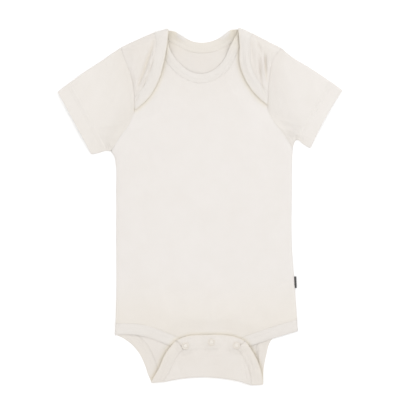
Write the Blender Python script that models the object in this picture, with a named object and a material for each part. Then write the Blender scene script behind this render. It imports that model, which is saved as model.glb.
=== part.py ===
"""A baby bodysuit with a lap-shoulder neck and a snap crotch, laid flat with its front upward.

Everything is in millimetres until a mesh is made. X runs across the garment, Y up it from crotch
to neck, and Z up from the surface that it lies on. The origin is the centre of its underside.

Each piece of cloth starts as a middle surface: a filled outline for a panel, or rows of points for
a sleeve, a binding or a fold. The surface then gets its thickness along its normals and a rounded
edge, so that every piece is one closed wall.
"""
import math
from collections import namedtuple
from types import SimpleNamespace

import bmesh
import bpy
import numpy as np
from mathutils import Vector
from mathutils.geometry import delaunay_2d_cdt

# ---------------------------------------------------------------- driving dimensions, in mm

GAP = 0.3              # air between two pieces that are sewn or lie together
JERSEY = 1.0           # one ply of cotton jersey
RIBBING = 1.5          # a folded rib binding
NECK_BINDING = 10.5    # width of the binding on the front neck
LAP_BINDING = 12.0     # width of the binding on the back neck and the laps
LEG_BINDING = 12.5     # width of the binding on the leg edges
PLACKET_PLIES = 1.8    # thickness of the placket
HEM_PLIES = 1.5        # thickness of a turned hem

FOLD_INSET = 2.0       # from a folded edge's outline back to the line that the cloth turns about
UNDERARM_INSET = 1.2   # the same at the flat underarm seam
PLY_LIFT = 1.3         # rise of the upper ply away from the seams where two plies meet
LAP_LIFT = 1.1         # extra rise of the laps where bindings cross at the neck points
CROSSING_LIFT = 0.55   # rise of the front ply where it crosses a binding on the back
FRONT_DOME = 1.2       # air under the middle of the front
SLEEVE_DOME = 0.9      # air inside the sleeves

TUCK = 1.0             # how far the front stops short of the shoulder fold that holds it
SLEEVE_START = 1.4     # where the sleeve's folded edges start, clear of the body's
FOLD_CROSSING = 1.35   # width of a neck binding along the fold that it crosses, over its own
LEG_CROSSING = 1.1     # the same for a leg binding at the crotch

SEAM_RUN = 16.0        # run from a seam over which two plies part
DOME_RUN = 55.0        # run from the seams over which the front's dome rises
NECK_DOME_RUN = 45.0   # the same from the front neck
SLEEVE_DOME_RUN = 28.0   # the same on a sleeve
COVER_MARGIN = 3.0     # the front stays low this far from what covers it
COVER_RUN = 18.0       # and has risen this much further out
FOLD_RUN = 12.0        # a soft fold has its full height this much further out
Reach = namedtuple("Reach", "far run")   # a rise starts this far away and is whole after its run
NECK_CROSSING = Reach(34.0, 14.0)        # of the front towards a neck point
LEG_CROSSING_REACH = Reach(22.0, 8.0)    # of the front towards a back leg edge
LAP_CROSSING = Reach(58.0, 30.0)         # of a lap towards a neck point
SLEEVE_HEM = Reach(20.0, 4.0)            # of a sleeve's thickness towards its cuff, in its hem

EDGE_ROUND = 0.3       # how far a cut edge is rounded
WELD = 0.02            # patches whose points are this close are joined
LEAST_STEP = 0.2       # points of an outline are no closer than this
EDGE_CLEARANCE = 1.0   # points inside a panel are no closer to its outline than this
TOUCHING = 1e-5        # points as close as this are one to the triangulation
COARSE = 3             # one point in so many is enough to measure distances from a line
PANEL_GRID = 12.0      # spacing of the points inside a panel
LINE_STEP = 6.5        # spacing of the points along an outline
FOLD_STEPS = 5         # steps round a turned edge
BINDING_COLUMNS = 3    # steps across a binding
LEG_COLUMNS = 6        # steps across a back leg binding, which is gathered at the crotch
LAP_GRID = 6.0         # spacing of the points inside the laps and the flap
SLEEVE_COLUMNS = 12    # steps across a sleeve, from its underarm seam to its fold
SLEEVE_RINGS = 10      # rings along a sleeve
PLACKET_LINE = -162.2  # height on the garment of the placket's lower edge

PLACKET_STEP = 1.4     # run over which the flap thickens there

SNAP_SIDES = 18
SNAP_SEAT = 5.4        # radius of the flat cloth that a snap is set in
SNAP_FOOT = 12.0       # radius where the flap has come back down
SNAP_RINGS = (SNAP_SEAT, 8.6)   # radii of the rings of points round a snap
SNAP_CLEAR = 2.2       # rise of the flap over a closed snap
TAB_RISE = SimpleNamespace(start=-182.0, length=13.0, height=0.6)   # rise of the flap over the tab
LABEL = SimpleNamespace(x=106.2, y=-84.8, out=3.0, height=13.2, thick=1.0, lift=0.6)

# Stations of the garment's lines, one row for each, with the left side and the right side of the
# garment as it lies. A smooth curve runs through them.
Station = namedtuple("Station", "left_x left_y right_x right_y")


def table(*rows):
    return [Station(*row) for row in rows]


SHOULDER = table(       # outline of the folded shoulder, from the neck to the armhole
    (-35.6, 199.9, 43.4, 201.0),
    (-46.0, 197.4, 51.0, 198.2),
    (-60.0, 191.8, 60.0, 193.6),
    (-89.3, 179.3, 92.0, 178.4),
)
SLEEVE_TOP = table(     # outline of the folded sleeve top, from the armhole to the cuff
    (-89.3, 179.3, 92.0, 178.4),
    (-109.7, 165.1, 107.5, 166.0),
    (-127.7, 153.4, 121.0, 158.0),
    (-160.4, 129.0, 160.4, 131.0),
)
ARMHOLE = table(        # from the shoulder to the underarm
    (-89.0, 176.0, 91.5, 176.0),
    (-84.0, 165.0, 82.0, 165.5),
    (-77.5, 148.0, 78.6, 150.0),
    (-74.0, 127.5, 76.6, 128.0),
    (-73.6, 108.5, 76.6, 108.0),
    (-79.0, 94.0, 82.5, 96.0),
    (-91.0, 77.0, 93.5, 82.0),
    (-100.0, 62.0, 104.4, 65.2),
)
SIDE_SEAM = table(      # from the underarm to the corner of the leg
    (-100.0, 62.0, 104.4, 65.2),
    (-96.4, 57.2, 103.7, 58.0),
    (-94.4, 47.0, 103.4, 46.0),
    (-94.0, 18.0, 103.1, 18.0),
    (-93.9, -42.0, 103.0, -38.0),
    (-93.9, -100.0, 107.2, -100.0),
    (-95.4, -143.8, 109.8, -139.2),
)
CUFF = table(           # from the top of the sleeve to its underarm seam
    (-160.4, 129.0, 160.4, 131.0),
    (-142.0, 96.0, 139.5, 97.0),
    (-122.8, 59.2, 124.2, 65.8),
)
UNDERARM = table(       # from the body to the cuff
    (-100.0, 62.0, 104.4, 65.2),
    (-105.5, 63.0, 109.2, 75.2),
    (-114.5, 60.4, 117.6, 69.4),
    (-122.8, 59.2, 124.2, 65.8),
)
LAP_EDGE = table(       # from the neck point over the front to the armhole
    (-35.6, 197.9, 43.4, 199.0),
    (-37.0, 182.0, 44.4, 181.0),
    (-40.5, 163.0, 44.4, 163.0),
    (-46.5, 142.0, 50.0, 145.0),
    (-57.5, 123.0, 61.0, 128.0),
    (-73.2, 108.7, 75.8, 114.4),
)
BACK_NECK = table(      # from the neck points to the middle of the back neck
    (-35.6, 197.9, 43.4, 199.0),
    (-29.2, 197.2, 35.2, 198.8),
    (-20.0, 191.6, 24.6, 191.2),
    (-8.5, 186.0, 13.0, 186.2),
    (3.0, 184.5, 3.0, 184.5),
)
FRONT_NECK = table(     # from the neck points to the middle of the front neck
    (-36.5, 196.0, 42.5, 196.0),
    (-35.0, 180.0, 35.0, 180.5),
    (-24.5, 163.0, 25.5, 163.5),
    (-10.5, 152.0, 12.5, 152.4),
    (1.5, 149.4, 1.5, 149.4),
)
CROTCH_FOLD = table(    # outline of the folded crotch, from the legs to the middle
    (-54.9, -198.2, 71.3, -200.4),
    (-42.0, -197.6, 62.0, -201.5),
    (-25.0, -194.4, 42.0, -196.4),
    (8.0, -192.2, 8.0, -192.2),
)
BACK_LEG = table(       # leg edge of the back, from the side seam to the crotch
    (-95.4, -143.8, 109.6, -138.2),
    (-81.0, -151.3, 92.0, -142.4),
    (-69.2, -163.5, 80.5, -149.6),
    (-61.9, -178.0, 74.2, -168.0),
    (-57.8, -190.0, 71.6, -182.0),
    (-54.9, -197.0, 71.3, -197.0),
)
FLAP_EDGE = table(      # side of the crotch flap, from the crotch up to the placket's corner
    (-54.9, -197.0, 71.3, -197.0),
    (-44.6, -180.0, 66.4, -180.0),
    (-38.0, -165.0, 60.0, -165.0),
    (-27.0, -150.4, 51.0, -151.0),
)
FLAP_TOP = table(       # from the placket's corners to the middle of its top
    (-27.0, -150.4, 51.0, -151.0),
    (-16.0, -145.4, 39.0, -145.6),
    (8.0, -143.2, 8.0, -143.2),
)
FRONT_HEM = table(      # leg edge of the front, from the side seam to the hidden crotch tab
    (-95.4, -144.4, 109.8, -139.8),
    (-62.5, -146.0, 81.5, -148.2),
    (-42.0, -153.4, 62.0, -155.0),
    (-25.0, -160.3, 50.2, -159.6),
)
FRONT_TAB = table(      # bottom of the crotch tab under the flap
    (-22.5, -163.6, 47.6, -163.4),
    (8.0, -165.6, 8.0, -165.6),
)

Snap = namedtuple("Snap", "x y")
SNAPS = (Snap(-16.3, -156.2), Snap(12.9, -152.0), Snap(41.0, -155.6))

# Outlines of the snap's round pieces: radius, and height over the piece's lowest face.
Turn = namedtuple("Turn", "radius height")
CAP_TURNS = tuple(Turn(*row) for row in (
    (0.0, 0.0),
    (4.6, 0.0),
    (4.6, 0.45),
    (4.1, 0.95),
    (3.3, 1.05),
    (2.5, 0.8),
    (2.1, 0.35),
    (0.0, 0.3),
))
STUD = SimpleNamespace(radius=4.1, base=0.5, neck_radius=1.7, tip_radius=1.4, tip=0.2, slack=0.2)
SOCKET = SimpleNamespace(radius=4.1, hole=2.4, slack=0.1)

# Soft folds stand up from a piece: its height, half its width, and the stations of its crest.
Fold = namedtuple("Fold", "height width crest")
LAP_FOLDS = (
    Fold(0.7, 4.5, ((-53.5, 181.0), (-57.0, 166.0), (-61.5, 151.0), (-66.0, 139.0))),
    Fold(1.5, 5.0, ((69.5, 170.0), (69.8, 152.0), (72.0, 137.0))),
    Fold(0.9, 5.0, ((60.5, 180.0), (61.0, 166.0), (61.5, 153.0))),
)
FLAP_FOLDS = (
    Fold(0.6, 2.4, ((50.0, -192.0), (47.5, -182.0))),
    Fold(0.7, 2.4, ((55.5, -193.0), (53.5, -178.0))),
    Fold(0.6, 2.4, ((61.0, -193.0), (59.0, -177.0))),
)
FRONT_FOLDS = (
    Fold(0.7, 16.0, ((-60.0, 96.0), (-42.0, 78.0), (-30.0, 52.0))),
    Fold(0.7, 16.0, ((66.0, 96.0), (50.0, 76.0), (40.0, 50.0))),
    Fold(0.5, 14.0, ((-62.0, -96.0), (-34.0, -112.0), (0.0, -118.0), (38.0, -112.0), (72.0, -94.0))),
)

# ---------------------------------------------------------------- lines in plan


def smooth_line(stations, step=1.0):
    """A smooth curve through the stations, as points about a step apart."""
    stations = np.array(stations, float)
    chords = np.linalg.norm(np.diff(stations, axis=0), axis=1)
    along = np.concatenate(([0.0], np.cumsum(chords)))
    order = 2 if len(stations) > 2 else 1
    slopes = np.gradient(stations, along, axis=0, edge_order=order)
    points = []
    for index, chord in enumerate(chords):
        count = max(2, math.ceil(chord / step))
        t = (np.arange(count) / count)[:, None]
        points.append((2 * t**3 - 3 * t**2 + 1) * stations[index]
                      + (t**3 - 2 * t**2 + t) * chord * slopes[index]
                      + (3 * t**2 - 2 * t**3) * stations[index + 1]
                      + (t**3 - t**2) * chord * slopes[index + 1])
    return np.vstack(points + [stations[-1:]])


def lengths(line):
    return np.concatenate(([0.0], np.cumsum(np.linalg.norm(np.diff(line, axis=0), axis=1))))


def divided(line, count):
    """The line again, as count equal steps."""
    along = lengths(line)
    at = np.linspace(0.0, along[-1], count + 1)
    return np.column_stack([np.interp(at, along, column) for column in line.T])


def spaced(line, step=LINE_STEP):
    return divided(line, max(1, round(lengths(line)[-1] / step)))


def side_normals(line):
    """Unit vectors that point to the left of the way the line runs."""
    along = np.gradient(line, axis=0)
    along /= np.linalg.norm(along, axis=1)[:, None]
    return np.column_stack([-along[:, 1], along[:, 0]])


def shifted(line, distance):
    """The line moved to its left, or to its right where the distance is negative."""
    return line + side_normals(line) * distance


def between(line, start, end):
    """The stretch of a line from near one point to near another."""
    first = np.argmin(np.linalg.norm(line - start, axis=1))
    last = np.argmin(np.linalg.norm(line - end, axis=1))
    return line[first:last + 1]


def joined(*lines):
    """Lines end to end as one closed outline, without points that repeat."""
    points = np.vstack(lines)
    keep = np.linalg.norm(points - np.roll(points, 1, axis=0), axis=1) > LEAST_STEP
    return points[keep]


def distance(points, *lines):
    """From each point to the nearest of some lines."""
    points = np.asarray(points)[:, None, :2]
    nearest = np.full(len(points), np.inf)
    for line in lines:
        line = np.asarray(line)
        start, step = line[:-1], np.diff(line, axis=0)
        share = ((points - start) * step).sum(2) / np.maximum((step**2).sum(1), 1e-12)
        foot = start + np.clip(share, 0.0, 1.0)[..., None] * step
        nearest = np.minimum(nearest, np.linalg.norm(points - foot, axis=2).min(1))
    return nearest


def inside(points, outline):
    """Which points lie inside a closed outline."""
    x, y = np.asarray(points)[:, None, 0], np.asarray(points)[:, None, 1]
    a, b = outline, np.roll(outline, -1, axis=0)
    crosses = (a[:, 1] > y) != (b[:, 1] > y)
    rise = np.where(b[:, 1] == a[:, 1], 1.0, b[:, 1] - a[:, 1])
    at = a[:, 0] + (y - a[:, 1]) / rise * (b[:, 0] - a[:, 0])
    return ((crosses & (x < at)).sum(1) % 2).astype(bool)


def soft(share):
    """0 below 0 and 1 above 1, with a smooth rise between them."""
    share = np.clip(share, 0.0, 1.0)
    return share * share * (3.0 - 2.0 * share)


def along_line(line, run):
    """The point at a run from the line's start, or from its end where the run is negative."""
    at = lengths(line)
    return np.array([np.interp(run % at[-1], at, column) for column in line.T])


def after(line, run):
    """What is left of a line past a run from its start."""
    start = along_line(line, run)
    return np.vstack([start, line[lengths(line) > run + LEAST_STEP]])


def crossing(line, other):
    """The point of another line where a line meets it."""
    apart = np.linalg.norm(line[:, None] - other[None], axis=2)
    return other[np.unravel_index(apart.argmin(), apart.shape)[1]]


def seam_beside(edge, width, start, end, stretches=8):
    """The seam of a binding, a set width from its edge, between two points on other lines."""
    line = between(shifted(edge, width), start, end)
    return smooth_line([start, *divided(line, stretches)[1:-1], end])


# ---------------------------------------------------------------- the garment's lines


def stations(rows, side):
    return [(getattr(row, side + "_x"), getattr(row, side + "_y")) for row in rows]


def whole(rows, first=None, last=None):
    """One line across both sides, from the left to the right, with its ends moved if given."""
    points = stations(rows, "left") + stations(rows, "right")[-2::-1]
    points[0] = points[0] if first is None else first
    points[-1] = points[-1] if last is None else last
    return smooth_line(points)


CROTCH = shifted(whole(CROTCH_FOLD), FOLD_INSET)


def half(side):
    """The lines of one side, each from the neck outward or from the side seam inward.

    turn is 1 where a shift to the left of such a line goes into the garment, and -1 otherwise.
    """
    at = SimpleNamespace(turn=1.0 if side == "left" else -1.0)
    at.fold = shifted(smooth_line(stations(SHOULDER, side)), at.turn * FOLD_INSET)
    at.neck_point = at.fold[0]
    at.armhole = smooth_line([at.fold[-1]] + stations(ARMHOLE, side)[1:])
    at.side_seam = smooth_line(stations(SIDE_SEAM, side))

    at.lap_edge = smooth_line([at.neck_point] + stations(LAP_EDGE, side)[1:])
    at.lap_seam_start = along_line(at.fold, LAP_BINDING * FOLD_CROSSING)
    lap_seam_end = crossing(shifted(at.lap_edge, -at.turn * LAP_BINDING), at.armhole)
    at.lap_seam = seam_beside(at.lap_edge, -at.turn * LAP_BINDING, at.lap_seam_start, lap_seam_end)

    at.front_top = shifted(at.fold, at.turn * TUCK)
    at.crotch = CROTCH if side == "left" else CROTCH[::-1]
    at.back_leg = smooth_line(stations(BACK_LEG, side)[:-1] + [at.crotch[0]])
    at.back_leg_seam = seam_beside(at.back_leg, at.turn * LEG_BINDING,
                                   along_line(at.side_seam, -LEG_BINDING),
                                   along_line(at.crotch, LEG_BINDING * LEG_CROSSING))
    at.flap_edge = smooth_line([at.crotch[0]] + stations(FLAP_EDGE, side)[1:])
    flap_seam_end = shifted(at.flap_edge, -at.turn * LEG_BINDING)[-1]
    at.flap_seam = seam_beside(at.flap_edge, -at.turn * LEG_BINDING, at.back_leg_seam[-1],
                               flap_seam_end)
    at.front_hem = smooth_line(stations(FRONT_HEM, side))
    front_seam_end = shifted(at.front_hem, at.turn * LEG_BINDING)[-1]
    at.front_leg_seam = seam_beside(at.front_hem, at.turn * LEG_BINDING,
                                    along_line(at.side_seam, -LEG_BINDING), front_seam_end)

    top = shifted(smooth_line(stations(SLEEVE_TOP, side)), at.turn * FOLD_INSET)
    under = shifted(smooth_line(stations(UNDERARM, side)), -at.turn * UNDERARM_INSET)
    at.sleeve_top = after(top, SLEEVE_START)
    at.underarm = after(under, SLEEVE_START)
    at.sleeve_head = shifted(at.armhole, -at.turn * GAP)[::-1]
    at.sleeve_head[0], at.sleeve_head[-1] = at.underarm[0], at.sleeve_top[0]
    at.cuff = smooth_line(stations(CUFF, side))[::-1]
    at.cuff[0], at.cuff[-1] = at.underarm[-1], at.sleeve_top[-1]
    return at


LEFT, RIGHT = half("left"), half("right")
SIDES = (("left", LEFT), ("right", RIGHT))

BACK_NECK_EDGE = whole(BACK_NECK, LEFT.neck_point, RIGHT.neck_point)
BACK_NECK_SEAM = seam_beside(BACK_NECK_EDGE, -LAP_BINDING, LEFT.lap_seam_start,
                             RIGHT.lap_seam_start)
FRONT_NECK_EDGE = whole(FRONT_NECK, along_line(LEFT.front_top, TUCK),
                        along_line(RIGHT.front_top, TUCK))
FRONT_NECK_SEAM = seam_beside(FRONT_NECK_EDGE, -NECK_BINDING,
                              along_line(LEFT.front_top, NECK_BINDING * FOLD_CROSSING),
                              along_line(RIGHT.front_top, NECK_BINDING * FOLD_CROSSING))
FLAP_TOP_EDGE = whole(FLAP_TOP)
TAB_EDGE = whole(FRONT_TAB)

# ---------------------------------------------------------------- heights of the plies


def cover_outline(side):
    """What a lap covers, as an outline."""
    armhole = between(side.armhole, side.armhole[0], side.lap_edge[-1])
    return joined(side.lap_edge[::COARSE], armhole[::-COARSE], side.fold[::-COARSE])


LAP_COVERS = [cover_outline(side) for _, side in SIDES]
FLAP_COVER = joined(LEFT.flap_edge[::COARSE], FLAP_TOP_EDGE[::COARSE],
                    RIGHT.flap_edge[::-COARSE], CROTCH[::-COARSE])
LOW_SEAMS = [line[::COARSE] for _, side in SIDES
             for line in (side.side_seam, side.underarm, side.front_hem)]
LEG_EDGES = [side.back_leg[::COARSE] for _, side in SIDES]
UNDERARMS = [side.underarm[::COARSE] for _, side in SIDES]
SLEEVE_EDGES = [line[::COARSE] for _, side in SIDES for line in (side.sleeve_top, side.armhole)]


def free_of_covers(points):
    """How far each point lies from the laps and the flap, 0 under them."""
    nearest = np.full(len(points), np.inf)
    for cover in LAP_COVERS + [FLAP_COVER]:
        away = distance(points, np.vstack([cover, cover[:1]]))
        nearest = np.minimum(nearest, np.where(inside(points, cover), 0.0, away))
    return nearest


def raised_by(folds, points):
    """How high the soft folds raise each point."""
    return sum(fold.height * soft(1.0 - distance(points, fold.crest) / fold.width)
               for fold in folds)


def close_to(away, reach):
    """0 beyond a reach, and 1 once its run has been passed."""
    return soft((reach.far - away) / reach.run)


def neck_point_distance(points):
    return np.minimum(*[np.linalg.norm(points - side.neck_point, axis=1) for _, side in SIDES])


def front_bottom(points):
    """Underside of the front: low at its seams and under what covers it, domed elsewhere."""
    low = distance(points, *LOW_SEAMS)
    from_neck = distance(points, FRONT_NECK_EDGE[::COARSE])
    dome = FRONT_DOME * soft(low / DOME_RUN) * soft(from_neck / NECK_DOME_RUN)
    clear = free_of_covers(points) - COVER_MARGIN
    lift = (PLY_LIFT * soft(low / SEAM_RUN) + dome) * soft(clear / COVER_RUN)
    at_neck = close_to(neck_point_distance(points), NECK_CROSSING)
    at_leg = close_to(distance(points, *LEG_EDGES), LEG_CROSSING_REACH)
    folds = raised_by(FRONT_FOLDS, points) * soft(clear / FOLD_RUN)
    return JERSEY + GAP + lift + CROSSING_LIFT * np.maximum(at_neck, at_leg) + folds


def lap_bottom(points):
    """Underside of a lap, over the front and higher where bindings cross at the neck point."""
    at_neck = close_to(neck_point_distance(points), LAP_CROSSING)
    return 2 * (JERSEY + GAP) + LAP_LIFT * at_neck + raised_by(LAP_FOLDS, points)


def flap_bottom(points):
    """Underside of the crotch flap: over the front's tab, and higher over the snaps."""
    over_tab = soft((points[:, 1] - TAB_RISE.start) / TAB_RISE.length)
    over_snap = close_to(distance(points, *[(snap, snap) for snap in SNAPS]),
                         Reach(SNAP_FOOT, SNAP_FOOT - SNAP_SEAT))
    rise = TAB_RISE.height + (SNAP_CLEAR - TAB_RISE.height) * over_snap
    return 2 * (JERSEY + GAP) + rise * over_tab + raised_by(FLAP_FOLDS, points)


def sleeve_bottom(points):
    """Underside of the sleeve's upper ply."""
    low = distance(points, *UNDERARMS)
    from_edge = distance(points, *SLEEVE_EDGES)
    dome = SLEEVE_DOME * soft(low / SLEEVE_DOME_RUN) * soft(from_edge / SLEEVE_DOME_RUN)
    return JERSEY + GAP + PLY_LIFT * soft(low / SEAM_RUN) + dome


# ---------------------------------------------------------------- cloth


class Cloth:
    """The middle surface of one piece of cloth, gathered patch by patch, then made a wall."""

    def __init__(self, name):
        self.name = name
        self.mesh = bmesh.new()
        self.ply = self.mesh.verts.layers.float.new("ply")

    def add(self, points, faces, ply):
        verts = []
        for point, thickness in zip(points, np.broadcast_to(ply, len(points))):
            vert = self.mesh.verts.new(point)
            vert[self.ply] = thickness
            verts.append(vert)
        for face in faces:
            self.mesh.faces.new([verts[index] for index in face])

    def rows(self, rows, ply):
        """Quads between rows that each hold the same number of points."""
        wide = len(rows[0])
        faces = [(a + i, a + i + 1, a + wide + i + 1, a + wide + i)
                 for a in range(0, wide * (len(rows) - 1), wide) for i in range(wide - 1)]
        self.add(np.vstack(rows), faces, np.broadcast_to(ply, (len(rows), wide)).ravel())

    def panel(self, outline, bottom, ply=JERSEY, grid=PANEL_GRID, guides=()):
        """A filled outline, with more points along guide lines where its form changes."""
        low, high = outline.min(0), outline.max(0)
        across = np.arange(low[0], high[0], grid)
        upward = np.arange(low[1], high[1], grid * math.sqrt(0.75))
        lattice = np.array([(x + grid / 2 * (row % 2), y) for row, y in enumerate(upward)
                            for x in across])
        ring = np.vstack([outline, outline[:1]])
        lattice = lattice[inside(lattice, outline) & (distance(lattice, ring) > grid / 2)]
        cloud = [outline]
        for guide in guides:
            guide = guide[inside(guide, outline) & (distance(guide, ring) > EDGE_CLEARANCE)]
            if len(guide) > 1:
                cloud.append(guide)
                lattice = lattice[distance(lattice, guide) > grid / 2]
        cloud = np.vstack(cloud + [lattice])
        border = list(range(len(outline)))
        inner_faces = 1
        _, _, faces, origins, _, _ = delaunay_2d_cdt(
            [Vector(point) for point in cloud], [], [border], inner_faces, TOUCHING)
        faces = [[origins[corner][0] for corner in face] for face in faces]
        thickness = ply(cloud) if callable(ply) else np.full(len(cloud), ply)
        self.add(np.column_stack([cloud, bottom(cloud) + thickness / 2]), faces, thickness)

    def wall(self, material):
        """Weld the patches, give the surface its thickness and round its edges."""
        mesh = self.mesh
        bmesh.ops.remove_doubles(mesh, verts=mesh.verts, dist=WELD)
        bmesh.ops.recalc_face_normals(mesh, faces=mesh.faces)
        mesh.normal_update()
        mesh.verts.index_update()
        outward = {}
        for edge in mesh.edges:
            if edge.is_boundary:
                loop = edge.link_loops[0]
                across = (loop.link_loop_next.vert.co - loop.vert.co).cross(loop.face.normal)
                for vert in edge.verts:
                    outward[vert] = outward.get(vert, Vector()) + across.normalized()
        solid = bmesh.new()
        layers = []
        for side in (1.0, -1.0):
            layer = []
            for vert in mesh.verts:
                place = vert.co + vert.normal * (side * vert[self.ply] / 2)
                if vert in outward:
                    place -= outward[vert].normalized() * EDGE_ROUND
                layer.append(solid.verts.new(place))
            layers.append(layer)
        top, under = layers
        rim = {vert.index: solid.verts.new(vert.co) for vert in outward}
        for face in mesh.faces:
            corners = [vert.index for vert in face.verts]
            solid.faces.new([top[corner] for corner in corners])
            solid.faces.new([under[corner] for corner in reversed(corners)])
        for edge in mesh.edges:
            if edge.is_boundary:
                loop = edge.link_loops[0]
                a, b = loop.vert.index, loop.link_loop_next.vert.index
                solid.faces.new((top[b], top[a], rim[a], rim[b]))
                solid.faces.new((rim[b], rim[a], under[a], under[b]))
        mesh.free()
        return place_solid(self.name, solid, material)


def place_solid(name, solid, material):
    """Make an object of a closed mesh in millimetres, at its place in the garment."""
    bmesh.ops.scale(solid, vec=(0.001, 0.001, 0.001), verts=solid.verts)
    mesh = bpy.data.meshes.new(name)
    solid.to_mesh(mesh)
    solid.free()
    mesh.materials.append(material)
    mesh.shade_smooth()
    piece = bpy.data.objects.new(name, mesh)
    bpy.context.scene.collection.objects.link(piece)
    return piece


def turned(line, outward, low, high):
    """Rows that turn a cloth over from a low ply to a high one along a line."""
    middle, radius = (low + high) / 2, (high - low) / 2
    rows = []
    for angle in np.linspace(0.0, math.pi, FOLD_STEPS + 1):
        plan = line + outward * (radius * math.sin(angle))[:, None]
        rows.append(np.column_stack([plan, middle - radius * math.cos(angle)]))
    return rows


def ribbon(edge, seam, bottom, columns=BINDING_COLUMNS, step=LINE_STEP):
    """Rows across a binding, from its edge to its seam, at the middle of its thickness."""
    count = round(lengths(edge)[-1] / step)
    rows = []
    for start, end in zip(divided(edge, count), divided(seam, count)):
        plan = np.linspace(start, end, columns + 1)
        rows.append(np.column_stack([plan, bottom(plan) + RIBBING / 2]))
    return rows


def flat(points):
    return np.zeros(len(points))


# ---------------------------------------------------------------- pieces


def unit(vector):
    return vector / np.linalg.norm(vector)


def binding_end(edge, seam):
    """Two corners of the panel that is sewn past the end of a binding: by its seam and its edge."""
    onward, across = unit(edge[-1] - edge[-3]), unit(seam[-1] - edge[-1])
    return np.array([seam[-1] + GAP * (onward + across), edge[-1] + GAP * onward])


def beside_binding(seam, gap, start=None, end=None):
    """The panel's own edge along a binding's seam."""
    line = shifted(seam, gap)
    line[0] = line[0] if start is None else start
    line[-1] = line[-1] if end is None else end
    return spaced(line)


def panel_fold(side):
    """The stretch of the shoulder fold that the back panel itself turns over."""
    return spaced(after(side.fold, LAP_BINDING * FOLD_CROSSING + GAP))


def fold_outward(side, line):
    return -side.turn * side_normals(line)


def make_back_panel(material):
    """The back, with the two laps that turn over the shoulders and the flap that turns up."""
    cloth = Cloth("back_panel")
    leg_turn = LEG_BINDING * LEG_CROSSING + GAP
    crotch = spaced(after(after(CROTCH, leg_turn)[::-1], leg_turn)[::-1])
    crotch_ends = dict(left=crotch[0], right=crotch[-1])
    outer, flap = {}, {}
    for name, side in SIDES:
        fold = panel_fold(side)
        side_end = along_line(side.side_seam, -LEG_BINDING - GAP)
        seam = np.vstack([between(side.side_seam, side.side_seam[0], side_end)[:-1], side_end])
        leg = beside_binding(side.back_leg_seam, side.turn * GAP, side_end, crotch_ends[name])
        outer[name] = joined(fold, spaced(side.armhole), spaced(seam), leg)
        cloth.rows(turned(fold, fold_outward(side, fold), JERSEY / 2,
                          lap_bottom(fold) + JERSEY / 2), JERSEY)

        lap_end = side.lap_seam[-1] + GAP * unit(side.lap_seam[-1] - side.lap_edge[-1])
        lap_armhole = between(side.armhole, side.armhole[0], lap_end)
        lap_seam = beside_binding(side.lap_seam, -side.turn * GAP, fold[0], lap_armhole[-1])
        lap = joined(fold, spaced(lap_armhole), lap_seam[::-1])
        cloth.panel(lap, lap_bottom, grid=LAP_GRID, guides=crests_of(LAP_FOLDS))

        flap_seam = beside_binding(side.flap_seam, -side.turn * GAP, crotch_ends[name])
        flap[name] = np.vstack([flap_seam[:-1], binding_end(side.flap_edge, side.flap_seam)])
    neck = beside_binding(BACK_NECK_SEAM, -GAP, outer["left"][0], outer["right"][0])
    cloth.panel(joined(outer["left"], crotch, outer["right"][::-1], neck[::-1]), flat)
    below = np.tile((0.0, -1.0), (len(crotch), 1))
    cloth.rows(turned(crotch, below, JERSEY / 2, flap_bottom(crotch) + JERSEY / 2), JERSEY)
    top = spaced(after(after(FLAP_TOP_EDGE, GAP)[::-1], GAP)[::-1])
    outline = joined(crotch[::-1], flap["left"], top, flap["right"][::-1])
    guides = [ring_round(snap, radius) for snap in SNAPS for radius in SNAP_RINGS]
    for height in (PLACKET_LINE - PLACKET_STEP / 2, PLACKET_LINE + PLACKET_STEP / 2):
        guides.append(spaced(np.array([(outline[:, 0].min(), height),
                                       (outline[:, 0].max(), height)])))
    cloth.panel(outline, flap_bottom, placket_ply, LAP_GRID, guides)
    return cloth.wall(material)


def crests_of(folds):
    """The crests of soft folds, as points for a panel to pass through."""
    return [spaced(smooth_line(fold.crest)) for fold in folds]


def ring_round(snap, radius, sides=12):
    turns = np.linspace(0.0, 2 * math.pi, sides, endpoint=False)
    return np.column_stack([snap.x + radius * np.cos(turns), snap.y + radius * np.sin(turns)])


def placket_ply(points):
    """Thickness of the flap, doubled along its top for the snaps."""
    in_placket = soft((points[:, 1] - PLACKET_LINE) / PLACKET_STEP + 0.5)
    return JERSEY + (PLACKET_PLIES - JERSEY) * in_placket


def make_front_panel(material):
    """The front, from the folds inside the shoulders down to the tab under the flap."""
    cloth = Cloth("front_panel")
    outer = {}
    for name, side in SIDES:
        top = after(after(side.front_top, NECK_BINDING * FOLD_CROSSING + GAP)[::-1], 2 * TUCK)
        side_end = along_line(side.side_seam, -LEG_BINDING - GAP)
        seam = np.vstack([between(side.side_seam, side.side_seam[0], side_end)[:-1], side_end])
        leg = beside_binding(side.front_leg_seam, side.turn * GAP, side_end)
        outer[name] = joined(spaced(top[::-1]), spaced(after(side.armhole, 2 * TUCK)),
                             spaced(seam), leg[:-1],
                             binding_end(side.front_hem, side.front_leg_seam))
    neck = beside_binding(FRONT_NECK_SEAM, -GAP, outer["left"][0], outer["right"][0])
    outline = joined(outer["left"], spaced(TAB_EDGE), outer["right"][::-1], neck[::-1])
    edges = [spaced(shifted(side.lap_edge, side.turn * COVER_MARGIN)) for _, side in SIDES]
    cloth.panel(outline, front_bottom, guides=crests_of(FRONT_FOLDS) + edges)
    return cloth.wall(material)


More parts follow.
